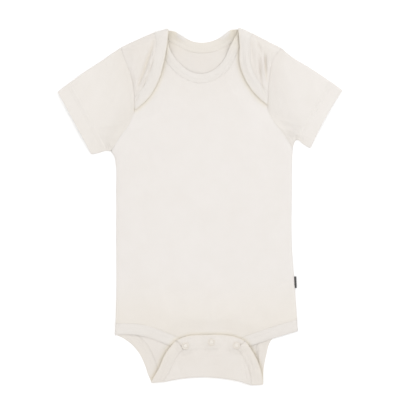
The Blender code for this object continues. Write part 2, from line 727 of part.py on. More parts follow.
def make_sleeve(name, side, material):
    """A flattened tube, open at the armhole and the cuff, as rings of points round the arm."""
    share = np.linspace(0.0, 1.0, SLEEVE_COLUMNS + 1)[:, None]
    head, cuff = divided(side.sleeve_head, SLEEVE_COLUMNS), divided(side.cuff, SLEEVE_COLUMNS)
    top, under = divided(side.sleeve_top, SLEEVE_RINGS), divided(side.underarm, SLEEVE_RINGS)
    top_out, under_out = -side.turn * side_normals(top), side.turn * side_normals(under)
    cloth = Cloth("sleeve_" + name)
    rings, plies = [], []
    for ring, out in enumerate(np.linspace(0.0, 1.0, SLEEVE_RINGS + 1)):
        corners = ((1 - out) * ((1 - share) * under[0] + share * top[0])
                   + out * ((1 - share) * under[-1] + share * top[-1]))
        plan = ((1 - out) * head + out * cuff
                + (1 - share) * under[ring] + share * top[ring] - corners)
        hem = close_to(distance(plan, side.cuff[::COARSE]), SLEEVE_HEM)
        ply = JERSEY + (HEM_PLIES - JERSEY) * hem
        low, high = ply / 2, sleeve_bottom(plan) + ply / 2
        over = np.vstack(turned(plan[-1:], top_out[ring:ring + 1], low[-1:], high[-1:]))
        back = np.vstack(turned(plan[:1], under_out[ring:ring + 1], low[:1], high[:1]))[::-1]
        rings.append(np.vstack([np.column_stack([plan, low]), over[1:-1],
                                np.column_stack([plan, high])[::-1], back[1:]]))
        plies.append(np.concatenate([ply, np.full(len(over) - 2, ply[-1]), ply[::-1],
                                     np.full(len(back) - 1, ply[0])]))
    cloth.rows(rings, np.array(plies))
    return cloth.wall(material)


def make_front_neck_binding(material):
    cloth = Cloth("neck_binding_front")
    cloth.rows(ribbon(FRONT_NECK_EDGE, FRONT_NECK_SEAM, front_bottom), RIBBING)
    return cloth.wall(material)


def folded_rows(start, end, outward, bottom, columns=None):
    """Rows that turn a binding over a fold, from the lower ply to the upper one."""
    line = np.linspace(start, end, (columns or BINDING_COLUMNS) + 1)
    return turned(line, np.tile(outward, (len(line), 1)), RIBBING / 2, bottom(line) + RIBBING / 2)


def make_back_neck_binding(material):
    """One strip: along the left lap, over the shoulder, round the back neck and back down."""
    cloth = Cloth("neck_binding_back")
    cloth.rows(ribbon(BACK_NECK_EDGE, BACK_NECK_SEAM, flat), RIBBING)
    for _, side in SIDES:
        outward = fold_outward(side, side.fold)[0]
        cloth.rows(folded_rows(side.neck_point, side.lap_seam_start, outward, lap_bottom), RIBBING)
        cloth.rows(ribbon(side.lap_edge, side.lap_seam, lap_bottom), RIBBING)
    return cloth.wall(material)


def make_back_leg_binding(name, side, material):
    """From the side seam down the back leg, over the crotch fold and up the side of the flap."""
    cloth = Cloth("leg_binding_back_" + name)
    columns = LEG_COLUMNS
    cloth.rows(ribbon(side.back_leg, side.back_leg_seam, flat, columns), RIBBING)
    cloth.rows(folded_rows(side.crotch[0], side.back_leg_seam[-1], (0.0, -1.0), flap_bottom,
                           columns), RIBBING)
    cloth.rows(ribbon(side.flap_edge, side.flap_seam, flap_bottom, columns), RIBBING)
    return cloth.wall(material)


def make_front_leg_binding(name, side, material):
    cloth = Cloth("leg_binding_front_" + name)
    cloth.rows(ribbon(side.front_hem, side.front_leg_seam, front_bottom), RIBBING)
    return cloth.wall(material)


def turned_piece(name, snap, profile, material, closed=False):
    """A round piece, spun about the snap's axis from its outline of radius and height."""
    solid = bmesh.new()
    verts = [solid.verts.new((snap.x + radius, snap.y, height)) for radius, height in profile]
    edges = [solid.edges.new(pair) for pair in zip(verts, verts[1:])]
    if closed:
        edges.append(solid.edges.new((verts[-1], verts[0])))
    bmesh.ops.spin(solid, geom=verts + edges, cent=(snap.x, snap.y, 0.0), axis=(0.0, 0.0, 1.0),
                   angle=2 * math.pi, steps=SNAP_SIDES, use_merge=True)
    bmesh.ops.remove_doubles(solid, verts=solid.verts, dist=0.001)
    bmesh.ops.recalc_face_normals(solid, faces=solid.faces)
    return place_solid(name, solid, material)


def make_snap(number, snap, material):
    """A ring cap on the flap, its socket under the flap, and the stud on the front's tab."""
    place = np.array([snap])
    tab_top = front_bottom(place)[0] + JERSEY
    flap_under = flap_bottom(place)[0]

    cap_foot = flap_under + PLACKET_PLIES + GAP
    cap = [(turn.radius, cap_foot + turn.height) for turn in CAP_TURNS]
    turned_piece(f"snap_cap_{number}", snap, cap, material)

    foot, tip = tab_top + GAP, flap_under - GAP - STUD.slack
    base = foot + STUD.base
    stud = [(0.0, foot), (STUD.radius, foot), (STUD.radius, base), (STUD.neck_radius, base),
            (STUD.neck_radius, tip - STUD.tip), (STUD.tip_radius, tip), (0.0, tip)]
    turned_piece(f"snap_stud_{number}", snap, stud, material)

    low, high = base + GAP, flap_under - GAP - SOCKET.slack
    socket = [(SOCKET.hole, low), (SOCKET.radius, low), (SOCKET.radius, high), (SOCKET.hole, high)]
    turned_piece(f"snap_socket_{number}", snap, socket, material, closed=True)


def make_label(material):
    """The folded tab that is caught in the right side seam."""
    solid = bmesh.new()
    bmesh.ops.create_cube(solid, size=1.0)
    bmesh.ops.scale(solid, vec=(LABEL.out, LABEL.height, LABEL.thick), verts=solid.verts)
    bmesh.ops.bevel(solid, geom=solid.edges[:], offset=EDGE_ROUND, segments=2, affect="EDGES")
    centre = (LABEL.x + LABEL.out / 2, LABEL.y, LABEL.lift + LABEL.thick / 2)
    bmesh.ops.translate(solid, vec=centre, verts=solid.verts)
    return place_solid("side_label", solid, material)


# ---------------------------------------------------------------- materials and assembly


def finish(name, colour, roughness):
    material = bpy.data.materials.new(name)
    material.use_nodes = True
    shader = material.node_tree.nodes["Principled BSDF"]
    shader.inputs["Base Color"].default_value = (*colour, 1.0)
    shader.inputs["Roughness"].default_value = roughness
    shader.inputs["Metallic"].default_value = 0.0
    return material


def clear_scene():
    for thing in list(bpy.data.objects):
        bpy.data.objects.remove(thing, do_unlink=True)


def make_bodysuit():
    clear_scene()
    jersey = finish("cream_jersey", (0.84, 0.80, 0.75), 0.85)
    rib = finish("cream_rib", (0.82, 0.78, 0.72), 0.9)
    enamel = finish("cream_snap", (0.80, 0.76, 0.69), 0.35)
    woven = finish("black_tab", (0.03, 0.03, 0.03), 0.7)

    make_back_panel(jersey)
    make_front_panel(jersey)
    make_front_neck_binding(rib)
    make_back_neck_binding(rib)
    for name, side in SIDES:
        make_sleeve(name, side, jersey)
        make_front_leg_binding(name, side, rib)
        make_back_leg_binding(name, side, rib)
    for number, snap in enumerate(SNAPS, 1):
        make_snap(number, snap, enamel)
    make_label(woven)


make_bodysuit()
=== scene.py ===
"""The looks of a baby bodysuit that lies flat with its front upward.

Lengths are in millimetres until a mesh is made, and in metres from there on. X runs across the
garment, Y up it from crotch to neck, and Z up from the table that it lies on.
"""

import math
from collections import namedtuple
from types import SimpleNamespace

import bmesh
import bpy
import numpy as np
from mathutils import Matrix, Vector
from mathutils.geometry import delaunay_2d_cdt


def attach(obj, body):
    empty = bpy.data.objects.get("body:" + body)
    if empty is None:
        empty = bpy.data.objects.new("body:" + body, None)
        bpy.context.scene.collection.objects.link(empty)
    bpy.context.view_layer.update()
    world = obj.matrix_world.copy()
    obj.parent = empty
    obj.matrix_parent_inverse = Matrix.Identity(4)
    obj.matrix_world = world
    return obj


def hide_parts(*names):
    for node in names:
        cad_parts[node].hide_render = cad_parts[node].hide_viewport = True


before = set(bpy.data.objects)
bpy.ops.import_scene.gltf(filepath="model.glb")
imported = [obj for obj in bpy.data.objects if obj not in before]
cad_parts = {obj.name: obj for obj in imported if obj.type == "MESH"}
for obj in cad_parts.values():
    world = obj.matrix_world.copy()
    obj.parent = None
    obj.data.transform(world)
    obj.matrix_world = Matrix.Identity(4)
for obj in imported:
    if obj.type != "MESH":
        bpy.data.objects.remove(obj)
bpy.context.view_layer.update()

# ---------------------------------------------------------------- table, lamps and camera
# The garment lies on a white table in a bright white room, under one large soft lamp. A cool lamp
# at the upper right and a weak warm one at the lower left shape the folds. The camera looks
# straight down from far above.

VIEW_WIDTH = 0.468         # metres of the table that the camera sees
CAMERA_HEIGHT = 3.0
CAMERA_X, CAMERA_Y = 0.0090, -0.0014       # it looks down a little beside the middle
TABLE_REACH = 4.0          # metres from the table's middle to its edge


def new_material(name, colour, roughness):
    """A material with its shader and its nodes at hand."""
    material = bpy.data.materials.new(name)
    material.use_nodes = True
    shader = material.node_tree.nodes["Principled BSDF"]
    shader.inputs["Base Color"].default_value = (*colour, 1.0)
    shader.inputs["Roughness"].default_value = roughness
    return material, shader


def add_object(name, data):
    """An object in the scene."""
    piece = bpy.data.objects.new(name, data)
    bpy.context.scene.collection.objects.link(piece)
    return piece


def soft_lamp(name, place, size, power, colour):
    """A square lamp that points at the middle of the garment."""
    lamp = bpy.data.lights.new(name, "AREA")
    lamp.shape, lamp.size = "SQUARE", size
    lamp.energy, lamp.color = power, colour
    holder = add_object(name, lamp)
    holder.location = place
    holder.rotation_mode = "QUATERNION"
    holder.rotation_quaternion = (-Vector(place)).to_track_quat("-Z", "Y")


def lay_table():
    """The white table top."""
    sheet = bmesh.new()
    bmesh.ops.create_grid(sheet, x_segments=8, y_segments=8, size=TABLE_REACH)
    mesh = bpy.data.meshes.new("table")
    sheet.to_mesh(mesh)
    sheet.free()
    material, shader = new_material("white_table", (0.93, 0.93, 0.93), 0.9)
    shader.inputs["Specular IOR Level"].default_value = 0.1
    mesh.materials.append(material)
    add_object("table", mesh)


lay_table()
soft_lamp("overhead_lamp", (0.1, 0.32, 1.6), 1.8, 9.0, (1.0, 1.0, 1.0))
soft_lamp("upper_right_lamp", (0.9, 0.9, 0.75), 0.8, 3.4, (0.97, 0.985, 1.0))
soft_lamp("lower_left_lamp", (-0.9, -1.1, 0.8), 0.9, 2.6, (1.0, 0.93, 0.84))

sky = bpy.data.worlds.new("white_room")
sky.use_nodes = True
sky.node_tree.nodes["Background"].inputs["Color"].default_value = (1.0, 1.0, 1.0, 1.0)
sky.node_tree.nodes["Background"].inputs["Strength"].default_value = 0.893
bpy.context.scene.world = sky
bpy.context.scene.view_settings.view_transform = "Standard"

camera = add_object("camera", bpy.data.cameras.new("camera"))
camera.data.sensor_width = 36.0
camera.data.lens = camera.data.sensor_width * CAMERA_HEIGHT / VIEW_WIDTH
camera.location = (CAMERA_X, CAMERA_Y, CAMERA_HEIGHT)
bpy.context.scene.camera = camera

# ---------------------------------------------------------------- back panel
# The back is one cut of cream cotton jersey. It lies on the table, turns over both shoulders as
# the laps of the neck, and turns up at the crotch as the flap that carries the snap caps.

JERSEY = 1.0               # room that one ply of jersey takes
PLY = 0.9                  # its thickness
GAP = 0.1                  # air between plies
SEAM = -0.03               # space between two cloths: they are pressed together where sewn
SEAM_PLY = 0.7             # a cloth this thick at its edge has next to no round there,
ROUND_GAIN = 1.1           # and each further millimetre of thickness adds this much radius
ROUND_LIMITS = (0.1, 0.55)     # its smallest and largest radius
SEWN_RIM = 0.15            # share of that radius where an edge is sewn to its neighbour
SEAM_DIP = 0.26            # how far a ply is pressed down beside a seam
SEAM_DIP_RUN = 2.4         # and how far in from the seam that reaches
WELD_RUN = 4.0             # it isn't pressed down this close to where it goes on as one cloth
WELDED_ARMHOLE = 24        # nor beside the first points of an armhole, a millimetre apart
LAID_OVER = 0.3            # how far a panel lies over the end of a binding
FOLD_INSET = 2.0           # how far inside the garment's outline a fold line runs
FOLD_BULGE = 2.0           # and how far past that line the folded cloth reaches
FINE = 2.7                 # spacing of points in the cloth,
FINEST = 1.9               # on the laps and the flap, which have the sharpest creases,
COARSE = 3.4               # and on the back, which lies flat
EDGE_ROWS = (0.7, 1.9)     # rows of points that follow a cloth's edge, this far in
LAP_BINDING = 12.0         # width of the rib round the back neck and along the laps
LEG_BINDING = 12.5         # and of the rib round the legs
FOLD_CROSSING = 1.35       # a binding crosses a shoulder fold aslant, over this many widths,
LEG_CROSSING = 1.1         # and of the crotch fold
JERSEY_GAUGE = (0.00062, 0.00050)     # metres that a column and a row of stitches take
JERSEY_RELIEF = 0.55       # strength of their bump

# How a lap lies on the front: lifted near the neck, puffed up between its seams, with a free
# edge that curls. It rises slowly from the armhole by the shoulder, and quickly farther down.
# The right edge lies low all along, and the left one does below a height.
LAP_LIFT = SimpleNamespace(height=1.1, reach=70.0, run=40.0)
NECK_LIFT = SimpleNamespace(height=3.9, reach=19.0)
LAP_LOFT = SimpleNamespace(height=2.0, edge_run=9.0, slow=11.0, quick=5.5, quick_below=165.0)
LAP_CURL = SimpleNamespace(high=0.7, low=0.42, low_below=144.0, run=22.0, width=5.5)
TROUGH_FLOOR = 0.7         # how softly a trough levels out on the ply under it

# How the flap lies: it rises over the front's tab, and more over each snap, with small gathers
# round it. Its sides curl, and its top is doubled as a placket that two rows of thread hold.
FLAP_REST = SimpleNamespace(start=-182.0, run=13.0, height=0.9, at_top=0.15)
SNAP_ROOM = SimpleNamespace(height=2.9, reach=12.0, run=6.6)
SNAP_GATHERS = SimpleNamespace(height=0.22, away=7.0, width=2.0, count=9.0)
FLAP_CURL = SimpleNamespace(left=0.9, right=1.45, middle=8.0, width=6.0)
PLACKET_PLIES = 1.4        # thickness of the doubled top
PLACKET_LINE = -162.2      # where it ends below
PLACKET_STEP = 3.0         # run over which its thickness falls off there
PLACKET_SEAM = 2.8         # how far the upper row of thread is from the flap's top
PLACKET_HEM = 1.1          # and how far the lower row is above the doubled top's end
PLACKET_GROOVE = SimpleNamespace(depth=0.44, width=0.8)    # where the thread draws it in
SNAP_PITCH = 28.0          # about how far the snaps are apart,
SNAP_LEVEL = -154.0        # and about where they are up the garment
SNAP_RINGS = (4.0, 5.2, 6.6, 8.2, 10.2)    # radii of rings of points round each

# Painted shade and light in the cloth's colour: shut-in places are painted warmer, others paler or
# darker.
PAINTED_SHADE_WARMTH = (1.0, 0.97, 0.88)
PAINTED_LIGHT_TINT = (1.035, 1.045, 1.065)
EDGE_SHADE = 3.0           # how far the shade of an edge reaches over the ply under it,
POCKET_SHADE = 19.0        # and the shade of the pocket at a neck point
RIM_SHADE = SimpleNamespace(share=0.45, reach=1.3)     # on the edge itself
TROUGH_SHADE = 7.0         # a trough this deep would be shut in altogether
LOW_SHADE = SimpleNamespace(start=-70.0, run=60.0)     # toward the bottom of the front
ALL_UNDER = 99.0           # as the height from which a cloth lies on others: none of it does

Station = namedtuple("Station", "left_x left_y right_x right_y")
SHOULDER = (
    Station(-35.6, 199.9, 43.4, 201.0),
    Station(-46.0, 197.4, 51.0, 198.2),
    Station(-60.0, 191.8, 60.0, 193.6),
    Station(-89.3, 179.3, 92.0, 178.4),
)
ARMHOLE = (
    Station(-89.0, 176.0, 91.5, 176.0),
    Station(-84.0, 165.0, 82.0, 165.5),
    Station(-77.5, 148.0, 78.6, 150.0),
    Station(-74.0, 127.5, 76.6, 128.0),
    Station(-73.6, 108.5, 76.6, 108.0),
    Station(-79.0, 94.0, 82.5, 96.0),
    Station(-91.0, 77.0, 93.5, 82.0),
    Station(-100.0, 62.0, 104.4, 65.2),
)
SIDE_SEAM = (
    Station(-100.0, 62.0, 104.4, 65.2),
    Station(-96.4, 57.2, 103.7, 58.0),
    Station(-94.4, 47.0, 103.4, 46.0),
    Station(-94.0, 18.0, 103.1, 18.0),
    Station(-93.9, -42.0, 103.0, -38.0),
    Station(-93.9, -100.0, 107.2, -100.0),
    Station(-95.4, -143.8, 109.8, -139.2),
)
LAP_EDGE = (
    Station(-35.6, 197.9, 43.4, 199.0),
    Station(-37.0, 182.0, 44.4, 181.0),
    Station(-40.5, 163.0, 44.4, 163.0),
    Station(-46.5, 142.0, 50.0, 145.0),
    Station(-57.5, 123.0, 61.0, 128.0),
    Station(-73.2, 108.7, 75.8, 114.4),
)
BACK_NECK = (
    Station(-35.6, 197.9, 43.4, 199.0),
    Station(-29.2, 197.2, 35.2, 198.8),
    Station(-20.0, 191.6, 24.6, 191.2),
    Station(-8.5, 186.0, 13.0, 186.2),
    Station(3.0, 184.5, 3.0, 184.5),
)
CROTCH_FOLD = (
    Station(-54.9, -198.2, 71.3, -200.4),
    Station(-42.0, -197.6, 62.0, -201.5),
    Station(-25.0, -194.4, 42.0, -196.4),
    Station(8.0, -192.2, 8.0, -192.2),
)
BACK_LEG = (
    Station(-95.4, -143.8, 109.6, -138.2),
    Station(-81.0, -151.3, 92.0, -142.4),
    Station(-69.2, -163.5, 80.5, -149.6),
    Station(-61.9, -178.0, 74.2, -168.0),
    Station(-57.8, -190.0, 71.6, -182.0),
    Station(-54.9, -197.0, 71.3, -197.0),
)
FLAP_EDGE = (
    Station(-54.9, -197.0, 71.3, -197.0),
    Station(-45.7, -180.0, 67.3, -180.0),
    Station(-38.8, -165.0, 60.5, -165.0),
    Station(-27.0, -150.4, 51.0, -151.0),
)
FLAP_TOP = (
    Station(-27.0, -150.4, 51.0, -151.0),
    Station(-16.0, -145.8, 39.0, -146.0),
    Station(8.0, -143.8, 8.0, -143.8),
)
Snap = namedtuple("Snap", "x y")
SNAPS = (Snap(-16.3, -156.2), Snap(12.9, -152.0), Snap(41.0, -155.6))

# A crease is a soft ridge, or a trough where its height is negative, that fades at both ends.
# Its width is how far from its path it has fallen to about a third.
Crease = namedtuple("Crease", "height width path")
LEFT_LAP_CREASES = (
    Crease(-4.0, 1.9, ((-52.0, 189.0), (-54.6, 177.0), (-58.4, 166.8), (-62.6, 154.0),
                       (-67.6, 141.0), (-71.5, 131.0))),
    Crease(1.5, 1.5, ((-51.0, 178.0), (-54.6, 165.0), (-58.8, 152.0), (-64.0, 141.0),
                      (-68.0, 133.0))),
    Crease(0.7, 3.0, ((-61.0, 190.0), (-64.0, 174.0), (-68.0, 158.0), (-72.0, 144.0))),
    Crease(-2.1, 1.2, ((-53.0, 165.0), (-56.2, 155.5), (-59.6, 148.8), (-62.6, 139.0),
                       (-65.0, 131.0))),
    Crease(-1.6, 1.1, ((-67.0, 127.0), (-71.5, 120.0), (-73.6, 115.0))),
    Crease(0.9, 1.8, ((-71.5, 144.0), (-73.5, 134.0), (-74.0, 124.0))),
    Crease(0.5, 5.0, ((-72.0, 186.0), (-74.0, 170.0), (-76.5, 156.0))),
    Crease(0.6, 2.0, ((-43.5, 188.0), (-46.5, 165.0), (-53.0, 144.0), (-62.0, 128.0))),
    Crease(-0.4, 1.0, ((-41.0, 180.0), (-44.0, 164.0), (-51.0, 144.0))),
    Crease(2.4, 4.0, ((-35.5, 178.0), (-39.6, 163.0), (-44.0, 152.0))),
)
RIGHT_LAP_CREASES = (
    Crease(-1.0, 1.2, ((61.5, 193.0), (66.0, 181.0), (69.6, 171.0), (71.0, 163.0))),
    Crease(2.5, 1.7, ((69.2, 176.0), (70.6, 164.0), (70.8, 152.0), (72.4, 139.0))),
    Crease(-4.4, 1.4, ((72.6, 173.0), (73.3, 165.0), (73.6, 156.0), (74.2, 148.0), (75.4, 138.0))),
    Crease(2.2, 1.5, ((76.8, 174.0), (76.9, 166.0), (76.8, 159.0), (76.4, 152.0))),
    Crease(1.2, 1.8, ((61.0, 188.0), (63.4, 172.0), (64.0, 158.0), (66.6, 145.0), (70.0, 136.0))),
    Crease(-1.7, 1.35, ((65.8, 170.0), (67.2, 160.0), (68.0, 150.0), (69.4, 138.0),
                        (71.8, 130.0), (74.6, 123.0))),
    Crease(-0.9, 1.2, ((57.6, 190.0), (58.4, 174.0), (59.4, 160.0))),
    Crease(0.4, 4.0, ((78.0, 182.0), (82.0, 174.0), (84.0, 168.0))),
    Crease(0.6, 1.8, ((51.0, 190.0), (51.6, 166.0), (57.0, 148.0), (65.0, 134.0))),
    Crease(-0.5, 1.1, ((48.6, 188.0), (48.8, 164.0), (54.0, 146.0), (62.0, 132.0))),
    Crease(-0.4, 1.0, ((54.5, 186.0), (54.8, 166.0), (60.0, 149.0))),
)
FLAP_CREASES = (
    Crease(0.8, 1.3, ((50.5, -199.0), (49.0, -186.0), (46.5, -176.0))),
    Crease(0.9, 1.3, ((54.5, -200.0), (53.5, -186.0), (51.0, -170.0))),
    Crease(0.9, 1.3, ((58.8, -200.0), (57.6, -186.0), (54.5, -170.0))),
    Crease(0.8, 1.3, ((63.4, -200.0), (61.5, -186.0), (58.0, -168.0))),
    Crease(0.6, 1.4, ((67.5, -199.0), (65.0, -186.0))),
    Crease(0.35, 1.5, ((-47.0, -196.0), (-41.0, -178.0), (-33.0, -161.0))),
    Crease(0.35, 1.4, ((-42.5, -196.0), (-37.0, -180.0), (-29.0, -162.0))),
    Crease(-0.3, 1.2, ((-44.8, -196.0), (-38.8, -179.0), (-31.0, -161.5))),
    Crease(0.45, 2.4, ((-12.0, -163.5), (4.0, -165.5), (24.0, -165.2), (38.0, -163.5))),
    Crease(-0.35, 2.0, ((-30.0, -166.0), (-25.0, -178.0), (-20.0, -190.0))),
    Crease(0.3, 6.0, ((-14.0, -190.0), (8.0, -183.0), (34.0, -190.0))),
)
BACK_CREASES = (
    Crease(0.5, 9.0, ((-22.0, 168.0), (2.0, 172.0), (26.0, 168.0))),
    Crease(0.35, 5.0, ((-30.0, 176.0), (-22.0, 160.0))),
    Crease(0.4, 4.0, ((-66.0, -152.0), (-56.0, -166.0), (-50.0, -180.0))),
    Crease(1.2, 1.5, ((58.6, -155.5), (60.6, -162.0), (62.8, -171.0), (64.6, -179.0))),
)


def smooth_line(knots, step=1.0):
    """A smooth curve through its knots, as points about a step apart."""
    knots = np.array(knots, float)
    chords = np.linalg.norm(np.diff(knots, axis=0), axis=1)
    along = np.concatenate(([0.0], np.cumsum(chords)))
    order = 2 if len(knots) > 2 else 1
    slopes = np.gradient(knots, along, axis=0, edge_order=order)
    points = []
    for index, chord in enumerate(chords):
        count = max(2, math.ceil(chord / step))
        t = (np.arange(count) / count)[:, None]
        points.append((2 * t**3 - 3 * t**2 + 1) * knots[index]
                      + (t**3 - 2 * t**2 + t) * chord * slopes[index]
                      + (3 * t**2 - 2 * t**3) * knots[index + 1]
                      + (t**3 - t**2) * chord * slopes[index + 1])
    return np.vstack(points + [knots[-1:]])


def lengths(line):
    """How far along a line each of its points is."""
    return np.concatenate(([0.0], np.cumsum(np.linalg.norm(np.diff(line, axis=0), axis=1))))


def at_lengths(line, runs):
    """The points of a line at some runs from its start."""
    along = lengths(line)
    return np.column_stack([np.interp(runs, along, column) for column in line.T])


def divided(line, count):
    """The line again, as count equal steps."""
    return at_lengths(line, np.linspace(0.0, lengths(line)[-1], count + 1))


def spaced(line, step=FINE):
    """The line again, in equal steps of about one length."""
    return divided(line, max(1, round(lengths(line)[-1] / step)))


def side_normals(line):
    """Unit vectors that point to the left of the way the line runs."""
    along = np.gradient(line, axis=0)
    along /= np.linalg.norm(along, axis=1)[:, None]
    return np.column_stack([-along[:, 1], along[:, 0]])


def shifted(line, away):
    """The line moved so far to its left, or to its right where that is negative."""
    return line + side_normals(line) * away


def between(line, start, end):
    """The stretch of a line from near one point to near another."""
    first = np.argmin(np.linalg.norm(line - start, axis=1))
    last = np.argmin(np.linalg.norm(line - end, axis=1))
    return line[first:last + 1]


def joined(*lines):
    """Lines end to end as one closed outline, without points that repeat."""
    points = np.vstack(lines)
    keep = np.linalg.norm(points - np.roll(points, 1, axis=0), axis=1) > 0.2
    return points[keep]


def closed(outline):
    """The outline with its first point again at its end."""
    return np.vstack([outline, outline[:1]])


def measured(points, line):
    """How far each point is from a line, and how far along the line its nearest point is."""
    points, line = np.asarray(points)[:, :2], np.asarray(line, float)
    start, step = line[:-1], np.diff(line, axis=0)
    square = np.maximum((step**2).sum(1), 1e-12)
    run = lengths(line)
    away, along = [], []
    for part in np.array_split(points, max(1, len(points) // 2000)):
        share = np.clip(((part[:, None] - start) * step).sum(2) / square, 0.0, 1.0)
        apart = np.linalg.norm(part[:, None] - start - share[..., None] * step, axis=2)
        nearest = apart.argmin(1)
        rows = np.arange(len(part))
        away.append(apart[rows, nearest])
        along.append(run[nearest] + share[rows, nearest] * np.sqrt(square[nearest]))
    return np.concatenate(away), np.concatenate(along)


def distance(points, *lines):
    """From each point to the nearest of some lines."""
    return np.minimum.reduce([measured(points, line)[0] for line in lines])


def inside(points, outline):
    """Which points lie inside a closed outline."""
    x, y = np.asarray(points)[:, None, 0], np.asarray(points)[:, None, 1]
    a, b = outline, np.roll(outline, -1, axis=0)
    crosses = (a[:, 1] > y) != (b[:, 1] > y)
    rise = np.where(b[:, 1] == a[:, 1], 1.0, b[:, 1] - a[:, 1])
    at = a[:, 0] + (y - a[:, 1]) / rise * (b[:, 0] - a[:, 0])
    return ((crosses & (x < at)).sum(1) % 2).astype(bool)


def soft(share):
    """0 below 0 and 1 above 1, with a smooth rise between them."""
    share = np.clip(share, 0.0, 1.0)
    return share * share * (3.0 - 2.0 * share)


def along_line(line, run):
    """The point at a run from the line's start, or from its end where the run is negative."""
    return at_lengths(line, [run % lengths(line)[-1]])[0]


def after(line, run):
    """What is left of a line past a run from its start."""
    return np.vstack([along_line(line, run), line[lengths(line) > run + 0.2]])


def trimmed(line, run):
    """A line without a run at either end."""
    return after(after(line, run)[::-1], run)[::-1]


def crossing(line, other):
    """The point of another line where a line meets it."""
    apart = np.linalg.norm(line[:, None] - other[None], axis=2)
    return other[np.unravel_index(apart.argmin(), apart.shape)[1]]


def seam_beside(edge, width, start, end):
    """The seam of a binding, a set width from its edge, between two points on other lines."""
    line = between(shifted(edge, width), start, end)
    return smooth_line([start, *divided(line, 8)[1:-1], end])


def stations(rows, side):
    """One side's points of a table of stations."""
    return [(getattr(row, side + "_x"), getattr(row, side + "_y")) for row in rows]


def whole(rows, first=None, last=None):
    """One line across both sides, from the left to the right, with its ends moved if given."""
    points = stations(rows, "left") + stations(rows, "right")[-2::-1]
    points[0] = points[0] if first is None else first
    points[-1] = points[-1] if last is None else last
    return smooth_line(points)


def unit(vector):
    """The vector at a length of 1."""
    return vector / np.linalg.norm(vector)


def side_of_back(side):
    """The lines of one side of the back, each from the neck outward or from the side inward.

    turn is 1 where a shift to the left of such a line goes into the garment, and -1 otherwise.
    """
    at = SimpleNamespace(turn=1.0 if side == "left" else -1.0)
    at.fold = shifted(smooth_line(stations(SHOULDER, side)), at.turn * FOLD_INSET)
    at.neck_point = at.fold[0]
    at.armhole = smooth_line([at.fold[-1]] + stations(ARMHOLE, side)[1:])
    at.welded_armhole = at.armhole[:WELDED_ARMHOLE:3]
    at.side_seam = smooth_line(stations(SIDE_SEAM, side))
    at.lap_edge = smooth_line([at.neck_point] + stations(LAP_EDGE, side)[1:])
    at.lap_seam_start = along_line(at.fold, LAP_BINDING * FOLD_CROSSING)
    lap_seam_end = crossing(shifted(at.lap_edge, -at.turn * LAP_BINDING), at.armhole)
    at.lap_seam = seam_beside(at.lap_edge, -at.turn * LAP_BINDING, at.lap_seam_start, lap_seam_end)
    at.crotch = crotch_line if side == "left" else crotch_line[::-1]
    at.back_leg = smooth_line(stations(BACK_LEG, side)[:-1] + [at.crotch[0]])
    at.back_leg_seam = seam_beside(at.back_leg, at.turn * LEG_BINDING,
                                   along_line(at.side_seam, -LEG_BINDING),
                                   along_line(at.crotch, LEG_BINDING * LEG_CROSSING))
    at.flap_edge = smooth_line([at.crotch[0]] + stations(FLAP_EDGE, side)[1:])
    flap_seam_end = shifted(at.flap_edge, -at.turn * LEG_BINDING)[-1]
    at.flap_seam = seam_beside(at.flap_edge, -at.turn * LEG_BINDING, at.back_leg_seam[-1],
                               flap_seam_end)
    return at


crotch_line = shifted(whole(CROTCH_FOLD), FOLD_INSET)
left, right = side_of_back("left"), side_of_back("right")
both_sides = (("left", left), ("right", right))


def both(*names):
    """Lines of both sides by their names, thinned out so that distances are found quickly."""
    return [getattr(side, name)[::3] for _, side in both_sides for name in names]


back_neck_edge = whole(BACK_NECK, left.neck_point, right.neck_point)
back_neck_seam = seam_beside(back_neck_edge, -LAP_BINDING, left.lap_seam_start,
                             right.lap_seam_start)
flap_top_edge = whole(FLAP_TOP)


def creased(creases, points):
    """How far the creases raise or lower each point."""
    rise = np.zeros(len(points))
    for crease in creases:
        path = smooth_line(crease.path, 4.0)
        away, run = measured(points, path)
        faded = np.sin(np.pi * np.clip(run / lengths(path)[-1], 0.03, 0.97)) ** 0.8
        rise += crease.height * faded * np.exp(-(away / crease.width) ** 2)
    return rise


def uneven(points, size, seed):
    """A slow wave over the cloth, from -1 to 1, that no two places share."""
    x, y = points[:, 0] / size, points[:, 1] / size
    return (np.sin(1.7 * x + 0.9 * y + seed) + np.sin(-0.8 * x + 1.9 * y + 2.3 * seed)
            + np.sin(2.9 * x - 1.3 * y + 4.1 * seed) * 0.6) / 2.6


def close_to(away, far, run):
    """0 beyond a distance, and 1 once a run inside it has been passed."""
    return soft((far - away) / run)


def from_neck_points(points):
    """How far each point is from the nearer of the two points where lap and neck meet."""
    return np.minimum(*[np.linalg.norm(points[:, :2] - side.neck_point, axis=1)
                        for _, side in both_sides])


def lap_creases(points):
    """How far the creases of the lap on its side raise or lower each point."""
    return np.where(points[:, 0] < 0, creased(LEFT_LAP_CREASES, points),
                    creased(RIGHT_LAP_CREASES, points))


def painted_shade(points, over, least, low):
    """How far a place is shut in by the folds round it, from 0 to 1.

    This share paints the colour warmer, as painted shade for light passed through or off more
    cloth.
    What is higher than over lies on the other plies, and only its troughs and edges are shut in.
    The rest is at least so far shut in, and low is how much painted shade the bottom of the front
    gets.
    """
    edges = distance(points, *both("lap_edge", "flap_edge"), flap_top_edge[::3])
    under = np.maximum(np.exp(-(edges / EDGE_SHADE) ** 2),
                       np.exp(-(from_neck_points(points) / POCKET_SHADE) ** 2))
    under = np.maximum(under, least)
    under = np.maximum(under, low * soft((LOW_SHADE.start - points[:, 1]) / LOW_SHADE.run))
    troughs = np.clip(-lap_creases(points) / TROUGH_SHADE, 0.0, 1.0)
    rims = RIM_SHADE.share * np.exp(-(edges / RIM_SHADE.reach) ** 2)
    return np.where(points[:, 2] > over, np.maximum(troughs, rims), under)


PaintedLightAndShade = namedtuple("PaintedLightAndShade", "share lines reach")


